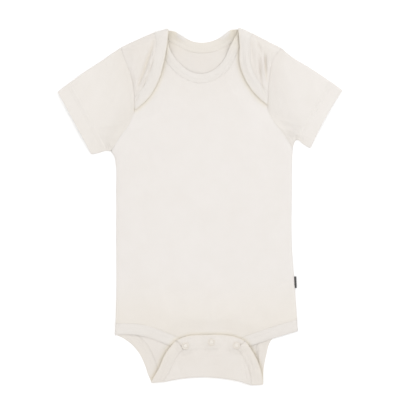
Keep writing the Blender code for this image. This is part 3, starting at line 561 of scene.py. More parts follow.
def painted_light_and_shade_of(points, over, painted_light_and_shade):
    """Painted light: how much paler the colour is beside some lines, or painted shade where the
    share is negative.

    If a part of the cloth lies on other plies, only that part is paler.
    """
    beside = painted_light_and_shade.share * np.exp(-(distance(points, *painted_light_and_shade.lines) / painted_light_and_shade.reach) ** 2)
    return np.where((points[:, 2] > over) | (over == ALL_UNDER), beside, 0.0)


def lap_bottom(points):
    """Underside of a lap, higher where the bindings cross at the neck point."""
    points = points[:, :2]
    to_neck = from_neck_points(points)
    low = (2 * (JERSEY + GAP)
           + LAP_LIFT.height * close_to(to_neck, LAP_LIFT.reach, LAP_LIFT.run)
           + NECK_LIFT.height * np.exp(-(to_neck / NECK_LIFT.reach) ** 2))
    free_edge = distance(points, *both("lap_edge"))
    above = (points[:, 1] - LAP_CURL.low_below) / LAP_CURL.run
    lying = np.where(points[:, 0] < 0, 1.0 - soft(above), 1.0)
    curl = LAP_CURL.high + (LAP_CURL.low - LAP_CURL.high) * lying
    curl *= np.exp(-(free_edge / LAP_CURL.width) ** 2)
    held = distance(points, *both("fold"))
    sleeve_seam = distance(points, *both("armhole"))
    off_seam = soft(sleeve_seam / 3.0)
    quickly = soft((LAP_LOFT.quick_below - points[:, 1]) / 10.0)
    slope = LAP_LOFT.slow - (LAP_LOFT.slow - LAP_LOFT.quick) * quickly
    loft = LAP_LOFT.height * soft(free_edge / LAP_LOFT.edge_run) * soft(sleeve_seam / slope + 0.06)
    loft += (lap_creases(points) + 0.16 * uneven(points, 9.0, 1.3)) * off_seam
    loft = (loft + np.sqrt(loft**2 + TROUGH_FLOOR * off_seam)) / 2
    return low + (loft + curl * soft(sleeve_seam / 9.0)) * soft(held / 6.0 + 0.12)


def flap_bottom(points):
    """Underside of the crotch flap: over the front's tab, and higher over the snaps."""
    points = points[:, :2]
    over_tab = soft((points[:, 1] - FLAP_REST.start) / FLAP_REST.run)
    to_snap = np.minimum.reduce([np.linalg.norm(points - snap, axis=1) for snap in SNAPS])
    over_snap = close_to(to_snap, SNAP_ROOM.reach, SNAP_ROOM.run)
    rise = FLAP_REST.height + (SNAP_ROOM.height - FLAP_REST.height) * over_snap
    around = np.exp(-((to_snap - SNAP_GATHERS.away) / SNAP_GATHERS.width) ** 2)
    turn = np.arctan2(points[:, 1] - SNAP_LEVEL, points[:, 0] % SNAP_PITCH - SNAP_PITCH / 2)
    gathers = SNAP_GATHERS.height * around * np.sin(SNAP_GATHERS.count * turn + points[:, 0])
    top = distance(points, flap_top_edge[::3])
    rise *= FLAP_REST.at_top + (1.0 - FLAP_REST.at_top) * soft(top / 6.0)
    roll = 0.2 * np.exp(-(top / 3.0) ** 2) + 0.22 * np.sin(points[:, 0] / 4.2) * np.exp(-top / 6.0)
    wave = 0.14 * uneven(points, 8.0, 2.1) * soft((points[:, 1] + 196.0) / 8.0)
    curl = np.where(points[:, 0] < FLAP_CURL.middle, FLAP_CURL.left, FLAP_CURL.right)
    curl *= np.exp(-(distance(points, *both("flap_edge")) / FLAP_CURL.width) ** 2)
    curl *= soft((points[:, 1] + 197.0) / 9.0)
    curl *= soft((-150.0 - points[:, 1]) / 12.0)
    return (2 * (JERSEY + GAP) + rise * over_tab + creased(FLAP_CREASES, points) + gathers
            + roll * over_tab + wave + curl)


def flat(points):
    """0 for every point, as for cloth that lies on the table."""
    return np.zeros(len(points))


class Cloth:
    """The middle surface of one piece of cloth, gathered patch by patch, then made a wall.

    Each point keeps its ply, how round its edge is, and its place in the cloth as it was knitted,
    in millimetres. Its last four arguments say how painted shade and painted light tint its colour.
    """

    def __init__(self, name, over=2.0, least=0.0, low=0.0, painted_light_and_shade=None):
        self.name = name
        self.over, self.least, self.low, self.painted_light_and_shade = over, least, low, painted_light_and_shade
        self.mesh = bmesh.new()
        self.ply = self.mesh.verts.layers.float.new("ply")
        self.rim = self.mesh.verts.layers.float.new("rim")
        self.knit = self.mesh.verts.layers.float_vector.new("knit")

    def add(self, points, faces, ply, knit, rim):
        """Points and faces. Each point has its ply, its place in the knit and its rim."""
        verts = []
        for point, thickness, place, share in zip(points, ply, knit, rim):
            vert = self.mesh.verts.new(point)
            vert[self.ply] = thickness
            vert[self.rim] = share
            vert[self.knit] = (place[0], place[1], 0.0)
            verts.append(vert)
        for face in faces:
            self.mesh.faces.new([verts[index] for index in face])

    def rows(self, rows, ply, knit, end_rim=1.0):
        """Quads between rows that each hold the same number of points."""
        wide = len(rows[0])
        faces = [(a + i, a + i + 1, a + wide + i + 1, a + wide + i)
                 for a in range(0, wide * (len(rows) - 1), wide) for i in range(wide - 1)]
        ply = np.broadcast_to(ply, (len(rows), wide))
        rim = np.ones((len(rows), wide))
        rim[[0, -1]] = end_rim
        self.add(np.vstack(rows), faces, ply.ravel(), np.reshape(knit, (-1, 2)), rim.ravel())

    def panel(self, outline, bottom, ply=None, grid=FINE, guides=(), welded=(), free=(),
              knit=None):
        """A filled outline with rows of points beside its edge and along its creases.

        It isn't pressed down where it goes on past a welded line, and its free edges are round.
        Points that would crowd those rows are left out.
        """
        low, high = outline.min(0), outline.max(0)
        across = np.arange(low[0], high[0], grid)
        upward = np.arange(low[1], high[1], grid * math.sqrt(0.75))
        lattice = np.array([(x + grid / 2 * (row % 2), y) for row, y in enumerate(upward)
                            for x in across])
        ring = closed(outline)
        lattice = lattice[inside(lattice, outline)]
        lattice = lattice[distance(lattice, ring) > EDGE_ROWS[-1] + grid * 0.45]
        cloud = [outline]
        for inset in EDGE_ROWS:
            for sign in (1.0, -1.0):
                row = shifted(ring, sign * inset)[:-1]
                row = row[inside(row, outline)]
                if len(row):
                    cloud.append(row[distance(row, ring) > inset * 0.93])
        for guide in guides:
            guide = guide[inside(guide, outline)]
            if len(guide) > 1:
                guide = guide[distance(guide, ring) > EDGE_ROWS[-1] + 0.8]
            if len(guide) > 1:
                cloud.append(guide)
                lattice = lattice[distance(lattice, guide) > grid * 0.5]
        cloud = np.vstack(cloud + [lattice])
        border = list(range(len(outline)))
        inner_faces, touching = 1, 0.05
        _, _, faces, origins, _, _ = delaunay_2d_cdt(
            [Vector(point) for point in cloud], [], [border], inner_faces, touching)
        faces = [[origins[corner][0] for corner in face] for face in faces]
        faces = [face for face in faces if len(set(face)) == 3]
        pressed = SEAM_DIP * (1.0 - soft(distance(cloud, ring) / SEAM_DIP_RUN))
        if len(welded):
            pressed *= soft(distance(cloud, *welded) / WELD_RUN)
        thickness = (np.full(len(cloud), PLY) if ply is None else ply(cloud)) - pressed
        rim = np.full(len(cloud), SEWN_RIM)
        if len(free):
            rim = np.where(distance(cloud, *free) < EDGE_ROWS[0], 1.0, SEWN_RIM)
        self.add(np.column_stack([cloud, bottom(cloud) + thickness / 2]), faces, thickness,
                 cloud if knit is None else knit(cloud), rim)

    def wall(self, material):
        """Weld the patches, give the cloth its thickness and a round edge, and make the object."""
        mesh = self.mesh
        bmesh.ops.remove_doubles(mesh, verts=mesh.verts, dist=0.02)
        loose = [vert for vert in mesh.verts if not vert.link_faces]
        bmesh.ops.delete(mesh, geom=loose, context="VERTS")
        bmesh.ops.recalc_face_normals(mesh, faces=mesh.faces)
        mesh.normal_update()
        mesh.verts.index_update()
        outward = {}
        for edge in mesh.edges:
            if edge.is_boundary:
                loop = edge.link_loops[0]
                across = (loop.link_loop_next.vert.co - loop.vert.co).cross(loop.face.normal)
                for vert in edge.verts:
                    outward[vert] = outward.get(vert, Vector()) + across.normalized()
        solid = bmesh.new()
        knit = solid.loops.layers.uv.new("knit")
        # Painted shade and painted light, kept on each point, which the material tints the colour
        # with
        shade = solid.verts.layers.float.new("painted_shade")
        painted_light_and_shade = solid.verts.layers.float.new("painted_light_and_shade")
        middle = np.array([vert.co for vert in mesh.verts])
        shades = painted_shade(middle, self.over, self.least, self.low)
        pales = painted_light_and_shade_of(middle, self.over, self.painted_light_and_shade) if self.painted_light_and_shade else flat(middle)
        place_of = {}

        def layer(angle):
            """Points of the wall's outside, from its top at 90 degrees to its underside."""
            rim, points = math.cos(math.radians(angle)), {}
            for vert in mesh.verts if abs(angle) == 90 else outward:
                place = vert.co + vert.normal * (math.sin(math.radians(angle)) * vert[self.ply] / 2)
                if vert in outward:
                    radius = vert[self.rim] * min(
                        max(ROUND_GAIN * (vert[self.ply] - SEAM_PLY), ROUND_LIMITS[0]),
                        ROUND_LIMITS[1])
                    place += outward[vert].normalized() * (radius * (rim - 1.0))
                point = solid.verts.new(place)
                point.normal = vert.normal
                point[shade] = shades[vert.index]
                point[painted_light_and_shade] = pales[vert.index]
                place_of[point] = vert[self.knit].xy / 1000.0
                points[vert.index] = point
            return points

        layers = [layer(angle) for angle in (90, 45, 0, -45, -90)]
        top, under = layers[0], layers[-1]
        for face in mesh.faces:
            corners = [vert.index for vert in face.verts]
            solid.faces.new([top[corner] for corner in corners])
            solid.faces.new([under[corner] for corner in reversed(corners)])
        for edge in mesh.edges:
            if edge.is_boundary:
                loop = edge.link_loops[0]
                a, b = loop.vert.index, loop.link_loop_next.vert.index
                for upper, lower in zip(layers, layers[1:]):
                    solid.faces.new((upper[b], upper[a], lower[a], lower[b]))
        for face in solid.faces:
            for loop in face.loops:
                loop[knit].uv = place_of[loop.vert]
        mesh.free()
        return made_of(self.name, solid, material)


def made_of(name, solid, material):
    """An object from a closed mesh in millimetres, at its place in the garment."""
    bmesh.ops.scale(solid, vec=(0.001, 0.001, 0.001), verts=solid.verts)
    mesh = bpy.data.meshes.new(name)
    solid.to_mesh(mesh)
    solid.free()
    mesh.materials.append(material)
    mesh.shade_smooth()
    return add_object(name, mesh)


def turned(line, outward, low, high, steps=9):
    """Rows that turn a cloth over from a low ply to a high one along a line.

    With them comes the cloth's own length from the first row to each.
    """
    middle, radius = (low + high) / 2, (high - low) / 2
    rows = []
    for angle in np.linspace(0.0, math.pi, steps + 1):
        plan = line + outward * (np.minimum(radius, FOLD_BULGE) * math.sin(angle))[:, None]
        rows.append(np.column_stack([plan, middle - radius * math.cos(angle)]))
    apart = np.linalg.norm(np.diff(rows, axis=0), axis=2)
    return rows, np.vstack([np.zeros(len(line)), np.cumsum(apart, axis=0)])


def unfolded(points, line, outward, arc):
    """Where points past a fold lie in the cloth as it was before it was folded.

    For points beside its ends, the fold line goes on straight past both of them.
    """
    beyond = 60.0
    line = np.vstack([line[0] - beyond * unit(line[1] - line[0]), line,
                      line[-1] + beyond * unit(line[-1] - line[-2])])
    outward, arc = np.vstack([outward[:1], outward, outward[-1:]]), np.pad(arc, 1, "edge")
    away, run = measured(points, line)
    along = lengths(line)
    direction = np.column_stack([np.interp(run, along, column) for column in outward.T])
    return at_lengths(line, run) + direction * (np.interp(run, along, arc) + away)[:, None]


def fold_outward(side, line):
    """Unit vectors that point out of the garment along a fold of one side."""
    return -side.turn * side_normals(line)


def binding_end(edge, seam):
    """Two corners of the panel that is sewn past the end of a binding: by its seam and its edge."""
    onward, across = unit(edge[-1] - edge[-3]), unit(seam[-1] - edge[-1])
    return np.array([seam[-1] + SEAM * across - LAID_OVER * onward, edge[-1] - LAID_OVER * onward])


def beside_binding(seam, gap, start=None, end=None):
    """The panel's own edge along a binding's seam."""
    line = shifted(seam, gap)
    line[0] = line[0] if start is None else start
    line[-1] = line[-1] if end is None else end
    return spaced(line)


def crests_of(creases):
    """Points along the creases, and beside the narrow ones, for a panel to pass through."""
    rows = []
    for crease in creases:
        path = spaced(smooth_line(crease.path), 1.8)
        if crease.width < 3.0:
            rows += [shifted(path, offset * crease.width) for offset in (-1.3, -0.65, 0.65, 1.3)]
        rows.append(path)
    return rows


def placket_ply(points):
    """Thickness of the flap, doubled along its top for the snaps and sewn above and below them."""
    in_placket = soft((points[:, 1] - PLACKET_LINE) / PLACKET_STEP + 0.5)
    top = distance(points, flap_top_edge[::3])
    sewn = np.exp(-((top - PLACKET_SEAM) / PLACKET_GROOVE.width) ** 2)
    above_line = points[:, 1] - PLACKET_LINE
    sewn += np.exp(-((above_line - PLACKET_HEM) / PLACKET_GROOVE.width) ** 2)
    return PLY + (PLACKET_PLIES - PLY) * in_placket - PLACKET_GROOVE.depth * sewn


def knit_cloth(name, light, dark, wale, course, relief):
    """Knitted cotton: columns of small V stitches, a mottled colour and a soft bloom of fibres."""
    material, shader = new_material(name, light, 0.88)
    shader.inputs["Sheen Weight"].default_value = 0.22
    shader.inputs["Sheen Roughness"].default_value = 0.6
    shader.inputs["Sheen Tint"].default_value = (1.0, 0.97, 0.93, 1.0)
    shader.inputs["Specular IOR Level"].default_value = 0.25
    tree = material.node_tree
    link = tree.links.new

    def math_node(operation, first, second=0.0):
        node = tree.nodes.new("ShaderNodeMath")
        node.operation = operation
        for socket, value in zip(node.inputs, (first, second)):
            if isinstance(value, (int, float)):
                socket.default_value = value
            else:
                link(value, socket)
        return node.outputs[0]

    uv = tree.nodes.new("ShaderNodeUVMap")
    uv.uv_map = "knit"
    parts = tree.nodes.new("ShaderNodeSeparateXYZ")
    link(uv.outputs["UV"], parts.inputs[0])
    column = math_node("MULTIPLY", parts.outputs["X"], 1.0 / wale)
    row = math_node("MULTIPLY", parts.outputs["Y"], 1.0 / course)
    lean = math_node("ABSOLUTE", math_node("SUBTRACT", math_node("FRACT", column), 0.5))
    leg = math_node("SINE", math_node("MULTIPLY",
                                      math_node("ADD", row, math_node("MULTIPLY", lean, 1.3)),
                                      2 * math.pi))
    valley = math_node("COSINE", math_node("MULTIPLY", column, 2 * math.pi))
    stitch = math_node("ADD", math_node("MULTIPLY", leg, 0.4), math_node("MULTIPLY", valley, -0.6))

    fuzz = tree.nodes.new("ShaderNodeTexNoise")
    fuzz.inputs["Scale"].default_value = 900.0
    fuzz.inputs["Detail"].default_value = 3.0
    link(uv.outputs["UV"], fuzz.inputs["Vector"])
    height = math_node("ADD", stitch, math_node("MULTIPLY", fuzz.outputs["Fac"], 0.9))
    bump = tree.nodes.new("ShaderNodeBump")
    bump.inputs["Strength"].default_value = relief
    bump.inputs["Distance"].default_value = 0.00012
    link(height, bump.inputs["Height"])
    link(bump.outputs["Normal"], shader.inputs["Normal"])

    mottle = tree.nodes.new("ShaderNodeTexNoise")
    mottle.inputs["Scale"].default_value = 38.0
    mottle.inputs["Detail"].default_value = 6.0
    mottle.inputs["Roughness"].default_value = 0.62
    link(uv.outputs["UV"], mottle.inputs["Vector"])
    depth = math_node("ADD", math_node("MULTIPLY", mottle.outputs["Fac"], 0.75),
                      math_node("MULTIPLY", stitch, -0.05))
    ramp = tree.nodes.new("ShaderNodeValToRGB")
    ramp.color_ramp.elements[0].position = 0.12
    ramp.color_ramp.elements[0].color = (*light, 1.0)
    ramp.color_ramp.elements[1].position = 0.72
    ramp.color_ramp.elements[1].color = (*dark, 1.0)
    link(depth, ramp.inputs["Fac"])
    colour = ramp.outputs["Color"]
    # Painted shade warms the colour, and painted light pales or darkens it, by each point's
    # attributes
    for attribute, tint in (("painted_shade", PAINTED_SHADE_WARMTH), ("painted_light_and_shade", PAINTED_LIGHT_TINT)):
        share = tree.nodes.new("ShaderNodeAttribute")
        share.attribute_name = attribute
        tinted = tree.nodes.new("ShaderNodeMix")
        tinted.data_type, tinted.blend_type = "RGBA", "MULTIPLY"
        tinted.clamp_factor = False
        link(share.outputs["Fac"], tinted.inputs["Factor"])
        link(colour, tinted.inputs["A"])
        tinted.inputs["B"].default_value = (*tint, 1.0)
        colour = tinted.outputs["Result"]
    link(colour, shader.inputs["Base Color"])
    return material


def sew_back_panel(material):
    """Both laps with their shoulder folds, the back itself, and the flap with its crotch fold."""
    # Painted light: the laps' colour is painted paler beside the armholes.
    cloth = Cloth("back_cloth", painted_light_and_shade=PaintedLightAndShade(0.45, both("armhole"), 8.0))
    leg_turn = LEG_BINDING * LEG_CROSSING + SEAM
    crotch = spaced(trimmed(crotch_line, leg_turn))
    crotch_ends = dict(left=crotch[0], right=crotch[-1])
    outer, flap, folds = {}, {}, []
    for name, side in both_sides:
        creases = LEFT_LAP_CREASES if name == "left" else RIGHT_LAP_CREASES
        fold = spaced(after(side.fold, LAP_BINDING * FOLD_CROSSING + SEAM))
        side_end = along_line(side.side_seam, -LEG_BINDING - SEAM)
        seam = np.vstack([between(side.side_seam, side.side_seam[0], side_end)[:-1], side_end])
        leg = beside_binding(side.back_leg_seam, side.turn * SEAM, side_end, crotch_ends[name])
        outer[name] = joined(fold, spaced(side.armhole), spaced(seam), leg)
        outward = fold_outward(side, fold)
        rows, arcs = turned(fold, outward, np.full(len(fold), PLY / 2), lap_bottom(fold) + PLY / 2)
        cloth.rows(rows, PLY, [fold + outward * arc[:, None] for arc in arcs])
        lap_end = side.lap_seam[-1] + SEAM * unit(side.lap_seam[-1] - side.lap_edge[-1])
        lap_armhole = between(side.armhole, side.armhole[0], lap_end)
        lap_seam = beside_binding(side.lap_seam, -side.turn * SEAM, fold[0], lap_armhole[-1])
        cloth.panel(joined(fold, spaced(lap_armhole), lap_seam[::-1]), lap_bottom, grid=FINEST,
                    guides=crests_of(creases), welded=[fold, side.welded_armhole],
                    knit=lambda points: unfolded(points, fold, outward, arcs[-1]))
        flap_seam = beside_binding(side.flap_seam, -side.turn * SEAM, crotch_ends[name])
        flap[name] = np.vstack([flap_seam[:-1], binding_end(side.flap_edge, side.flap_seam)])
        folds.append(fold)
    neck = beside_binding(back_neck_seam, -SEAM, outer["left"][0], outer["right"][0])
    cloth.panel(joined(outer["left"], crotch, outer["right"][::-1], neck[::-1]), flat, back_ply,
                grid=COARSE, welded=folds + [crotch])
    below = np.tile((0.0, -1.0), (len(crotch), 1))
    rows, arcs = turned(crotch, below, np.full(len(crotch), PLY / 2), flap_bottom(crotch) + PLY / 2)
    cloth.rows(rows, PLY, [crotch + below * arc[:, None] for arc in arcs])
    top = spaced(flap_top_edge)
    outline = joined(crotch[::-1], flap["left"], top, flap["right"][::-1])
    rings = [snap + radius * np.column_stack([np.cos(turns), np.sin(turns)])
             for snap in SNAPS for radius in SNAP_RINGS
             for turns in [np.linspace(0.0, 2 * math.pi, round(radius * 5), endpoint=False)]]
    across = np.arange(-40.0, 64.0, 1.8)
    placket_end = [np.column_stack([across, np.full(len(across), PLACKET_LINE + offset)])
                   for offset in (-1.6, 0.0, 1.6)]
    cloth.panel(outline, flap_bottom, placket_ply, FINEST,
                rings + placket_end + crests_of(FLAP_CREASES), welded=[crotch], free=[top],
                knit=lambda points: unfolded(points, crotch, below, arcs[-1]))
    return cloth.wall(material)


def back_ply(points):
    """The back is thicker where it is raised, because its underside lies flat on the table.

    Only what shows in the neck and in the leg openings is raised.
    """
    in_neck = close_to(distance(points, back_neck_edge[::3]), 60.0, 20.0)
    in_leg_openings = close_to(distance(points, *both("back_leg")), 30.0, 12.0)
    off_folds = soft(distance(points, *both("fold"), crotch_line[::3]) / 8.0)
    shown = np.maximum(in_neck, in_leg_openings) * off_folds
    return PLY + np.maximum(0.0, creased(BACK_CREASES, points) * shown)


# A darker, warmer copy of the cream jersey for the back: partly its inner face in the openings,
# partly painted shade on the laps and flap.
inner_and_shaded_jersey = knit_cloth("inner_and_shaded_jersey", (0.713, 0.677, 0.640), (0.681, 0.638, 0.589),
                          *JERSEY_GAUGE, JERSEY_RELIEF)
back_cloth = sew_back_panel(inner_and_shaded_jersey)
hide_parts("back_panel")
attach(back_cloth, "root")

# ---------------------------------------------------------------- front panel
# The front is one cut of the same jersey. It lies on the back, goes under the laps to the
# shoulder folds, and ends below in a tab under the flap that carries the snap studs.

NECK_BINDING = 10.5        # width of the rib round the front neck
TUCK = 1.0                 # how far inside the shoulder folds the front ends

# How the front lies: it stands off the back between its seams, domes up in its middle, is
# lifted where it passes over the ribs of the back, and cups up at its neck edge on both sides.
PLY_LIFT = 1.3
FRONT_DOME = 1.2
CROSSING_LIFT = 0.3
FRONT_CUP = SimpleNamespace(height=3.1, away=15.0, reach=11.0, width=13.0)
NECK_REST = 0.2            # share of the lift and the dome that is left at the neck edge
SEAM_PRESS = SimpleNamespace(depth=0.3, reach=2.0)     # how far its seams press it down

FRONT_NECK = (
    Station(-36.5, 196.0, 42.5, 196.0),
    Station(-35.0, 180.0, 33.9, 180.5),
    Station(-24.5, 163.0, 25.5, 163.5),
    Station(-10.5, 152.0, 12.5, 152.4),
    Station(1.5, 149.4, 1.5, 149.4),
)
FRONT_HEM = (
    Station(-95.4, -144.4, 109.8, -139.8),
    Station(-62.5, -146.0, 81.5, -148.2),
    Station(-42.0, -153.4, 62.0, -155.0),
    Station(-25.0, -160.3, 50.2, -159.6),
)
FRONT_TAB = (
    Station(-22.5, -163.6, 47.6, -163.4),
    Station(8.0, -165.6, 8.0, -165.6),
)
UNDERARM = (
    Station(-100.0, 62.0, 104.4, 65.2),
    Station(-105.5, 63.0, 109.2, 75.2),
    Station(-114.5, 60.4, 117.6, 69.4),
    Station(-122.8, 59.2, 124.2, 65.8),
)
FRONT_CREASES = (
    Crease(0.9, 12.0, ((-66.0, 92.0), (-46.0, 76.0), (-32.0, 48.0))),
    Crease(0.9, 12.0, ((70.0, 94.0), (52.0, 74.0), (42.0, 46.0))),
    Crease(-0.6, 7.0, ((-82.0, 80.0), (-64.0, 62.0), (-54.0, 36.0))),
    Crease(-0.6, 7.0, ((88.0, 78.0), (70.0, 60.0), (62.0, 34.0))),
    Crease(0.6, 9.0, ((-84.0, 30.0), (-78.0, -10.0), (-80.0, -56.0))),
    Crease(0.5, 10.0, ((92.0, 24.0), (87.0, -20.0), (90.0, -62.0))),
    Crease(1.0, 12.0, ((-92.0, -108.0), (-66.0, -112.0), (-34.0, -119.0), (4.0, -121.0),
                       (44.0, -118.0), (78.0, -110.0), (104.0, -104.0))),
    Crease(0.45, 5.0, ((-30.0, -138.0), (-36.0, -122.0), (-46.0, -106.0))),
    Crease(0.4, 5.0, ((48.0, -138.0), (56.0, -122.0), (66.0, -104.0))),
    Crease(-0.4, 4.0, ((-22.0, -138.0), (-26.0, -124.0), (-34.0, -110.0))),
    Crease(-0.35, 4.0, ((41.0, -138.0), (46.0, -124.0), (52.0, -110.0))),
    Crease(0.4, 4.5, ((12.0, -136.0), (12.0, -120.0), (14.0, -100.0))),
    Crease(0.45, 3.2, ((103.0, -76.0), (94.0, -80.0), (84.0, -79.0))),
    Crease(-0.35, 2.6, ((104.0, -82.0), (95.0, -86.0), (86.0, -86.0))),
    Crease(0.4, 3.0, ((105.0, -92.0), (96.0, -93.0), (86.0, -96.0))),
    Crease(0.3, 3.0, ((104.0, -70.0), (96.0, -71.0), (89.0, -69.0))),
    Crease(0.3, 4.0, ((-44.0, 118.0), (-34.0, 128.0), (-26.0, 134.0))),
    Crease(0.3, 4.0, ((48.0, 122.0), (38.0, 130.0), (30.0, 136.0))),
    Crease(0.45, 3.0, ((-97.0, 54.0), (-88.0, 60.0), (-76.0, 63.0))),
    Crease(0.45, 3.0, ((102.0, 58.0), (92.0, 66.0), (82.0, 70.0))),
)


def side_of_front(at, side):
    """Adds the lines of one side of the front to those of the back."""
    at.front_top = shifted(at.fold, at.turn * TUCK)
    at.front_hem = smooth_line(stations(FRONT_HEM, side))
    front_seam_end = shifted(at.front_hem, at.turn * LEG_BINDING)[-1]
    at.front_leg_seam = seam_beside(at.front_hem, at.turn * LEG_BINDING,
                                    along_line(at.side_seam, -LEG_BINDING), front_seam_end)
    at.under = smooth_line(stations(UNDERARM, side))


for side_name, garment_side in both_sides:
    side_of_front(garment_side, side_name)
front_neck_edge = whole(FRONT_NECK, along_line(left.front_top, TUCK),
                        along_line(right.front_top, TUCK))
front_neck_seam = seam_beside(front_neck_edge, -NECK_BINDING,
                              along_line(left.front_top, NECK_BINDING * FOLD_CROSSING),
                              along_line(right.front_top, NECK_BINDING * FOLD_CROSSING))
tab_edge = whole(FRONT_TAB)
covers = [joined(side.lap_edge[::3],
                 between(side.armhole, side.armhole[0], side.lap_edge[-1])[::-3],
                 side.fold[::-3]) for _, side in both_sides]
covers.append(joined(left.flap_edge[::3], flap_top_edge[::3], right.flap_edge[::-3],
                     crotch_line[::-3]))


def clear_of_covers(points):
    """How far each point lies from the laps and the flap, 0 under them."""
    return np.minimum.reduce([np.where(inside(points, cover), 0.0, distance(points, closed(cover)))
                              for cover in covers])


def puckered(points, seams, height=0.16, pitch=6.5, reach=4.0):
    """Small puckers that the thread draws up across a seam."""
    rise = np.zeros(len(points))
    for index, seam in enumerate(seams):
        away, run = measured(points, seam[::3])
        beat = np.sin(2 * np.pi * run / pitch + 1.6 * np.sin(run / 11.0 + index))
        rise += height * beat * np.exp(-away / reach) * soft(away / 1.2)
    return rise


def front_bottom(points):
    """Underside of the front: low at its seams and under what covers it, domed elsewhere."""
    points = points[:, :2]
    low = distance(points, *both("side_seam", "under", "front_hem"))
    dome = FRONT_DOME * soft(low / 55.0) * soft(distance(points, front_neck_edge[::3]) / 45.0)
    clear = clear_of_covers(points) - 3.0
    lift = (PLY_LIFT * (1.0 - np.exp(-low / 5.5)) + dome) * soft(clear / 18.0)
    lift *= NECK_REST + (1.0 - NECK_REST) * soft(distance(points, front_neck_edge[::3]) / 34.0)
    to_neck = from_neck_points(points)
    crossing_neck = close_to(to_neck, 34.0, 14.0)
    cup = FRONT_CUP.height * np.exp(-((to_neck - FRONT_CUP.away) / FRONT_CUP.reach) ** 2)
    cup *= soft((clear + 3.0) / 5.0 + 0.7)
    cup *= np.exp(-(distance(points, front_neck_edge[::3]) / FRONT_CUP.width) ** 2)
    crossing_leg = close_to(distance(points, *both("back_leg")), 22.0, 8.0)
    folds = creased(FRONT_CREASES, points) + 0.22 * uneven(points, 16.0, 0.7)
    folds += 0.09 * uneven(points, 6.0, 3.1)
    folds += puckered(points, [side.armhole for _, side in both_sides])
    folds += puckered(points, [side.side_seam for _, side in both_sides], 0.2, 5.2, 3.5)
    folds += puckered(points, [front_neck_seam], 0.12, 5.5, 3.0)
    seam_press = SEAM_PRESS.depth * np.exp(-low / SEAM_PRESS.reach) * (1.0 - crossing_leg)
    return (JERSEY + GAP + lift + cup + CROSSING_LIFT * np.maximum(crossing_neck, crossing_leg)
            + folds * soft(clear / 12.0) * soft(low / 4.0 + 0.25) - seam_press)


def sew_front_panel(material):
    """The front in one piece, from its tops at both shoulders down to the tab."""
    # Painted shade: the front's colour is darker toward its neck edge and hems, and warmer toward
    # its bottom.
    painted_shade_at_edges = PaintedLightAndShade(-0.6, [front_neck_edge[::3], *both("front_hem")], 40.0)
    cloth = Cloth("front_cloth", ALL_UNDER, low=0.28, painted_light_and_shade=painted_shade_at_edges)
    outer = {}
    for name, side in both_sides:
        top = after(after(side.front_top, NECK_BINDING * FOLD_CROSSING + SEAM)[::-1], 2 * TUCK)
        side_end = along_line(side.side_seam, -LEG_BINDING - SEAM)
        seam = np.vstack([between(side.side_seam, side.side_seam[0], side_end)[:-1], side_end])
        leg = beside_binding(side.front_leg_seam, side.turn * SEAM, side_end)
        outer[name] = joined(spaced(top[::-1]), spaced(after(side.armhole, 2 * TUCK)),
                             spaced(seam, 1.8), leg[:-1],
                             binding_end(side.front_hem, side.front_leg_seam))
    neck = beside_binding(front_neck_seam, -SEAM, outer["left"][0], outer["right"][0])
    outline = joined(outer["left"], spaced(tab_edge), outer["right"][::-1], neck[::-1])
    cloth.panel(outline, front_bottom, guides=crests_of(FRONT_CREASES))
    return cloth.wall(material)


cream_jersey = knit_cloth("cream_jersey", (0.741, 0.711, 0.686), (0.710, 0.676, 0.642),
                          *JERSEY_GAUGE, JERSEY_RELIEF)
front_cloth = sew_front_panel(cream_jersey)
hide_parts("front_panel")
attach(front_cloth, "root")

# ---------------------------------------------------------------- sleeves
# Each short sleeve is a tube of jersey that is pressed flat, sewn into the armhole and finished
# with a turned hem that two rows of thread hold.

SLEEVE_INSET = 1.2         # how far inside the garment's outline the lower fold line runs
SLEEVE_START = 0.6         # how far past the armhole both fold lines start
SLEEVE_HEM = 17.0          # how far the hem is turned up
HEM_PLIES = 1.3            # its thickness
HEM_STEP = 1.8             # run over which that falls off at the raw edge
HEM_NEEDLES = (12.6, 15.4)     # how far the two rows of thread are from the cuff
HEM_GROOVE = SimpleNamespace(depth=0.16, width=0.55)       # where the thread draws it in
HEM_ROPE = SimpleNamespace(height=0.14, pitch=5.0, reach=3.5)      # ripples along its top
HEM_RINGS = (18.6, 17.9, 17.2, 16.6, 16.0, 15.7, 15.4, 15.1, 14.6, 14.0, 13.4, 13.0, 12.6, 12.2,
             11.7, 11.0, 9.0, 6.0, 3.0, 1.0, 0.0)      # rings of points, as distances to the cuff
SEAM_RIDGE = SimpleNamespace(height=0.6, away=2.3, width=1.3)      # over the seam's allowance
SLEEVE_DOME = SimpleNamespace(height=0.9, run=28.0)
# Painted shade: each sleeve's colour is painted warmer all over, the left more than the right.
SLEEVE_SHADE = dict(left=0.17, right=0.08)     # how far each sleeve is shut in all over

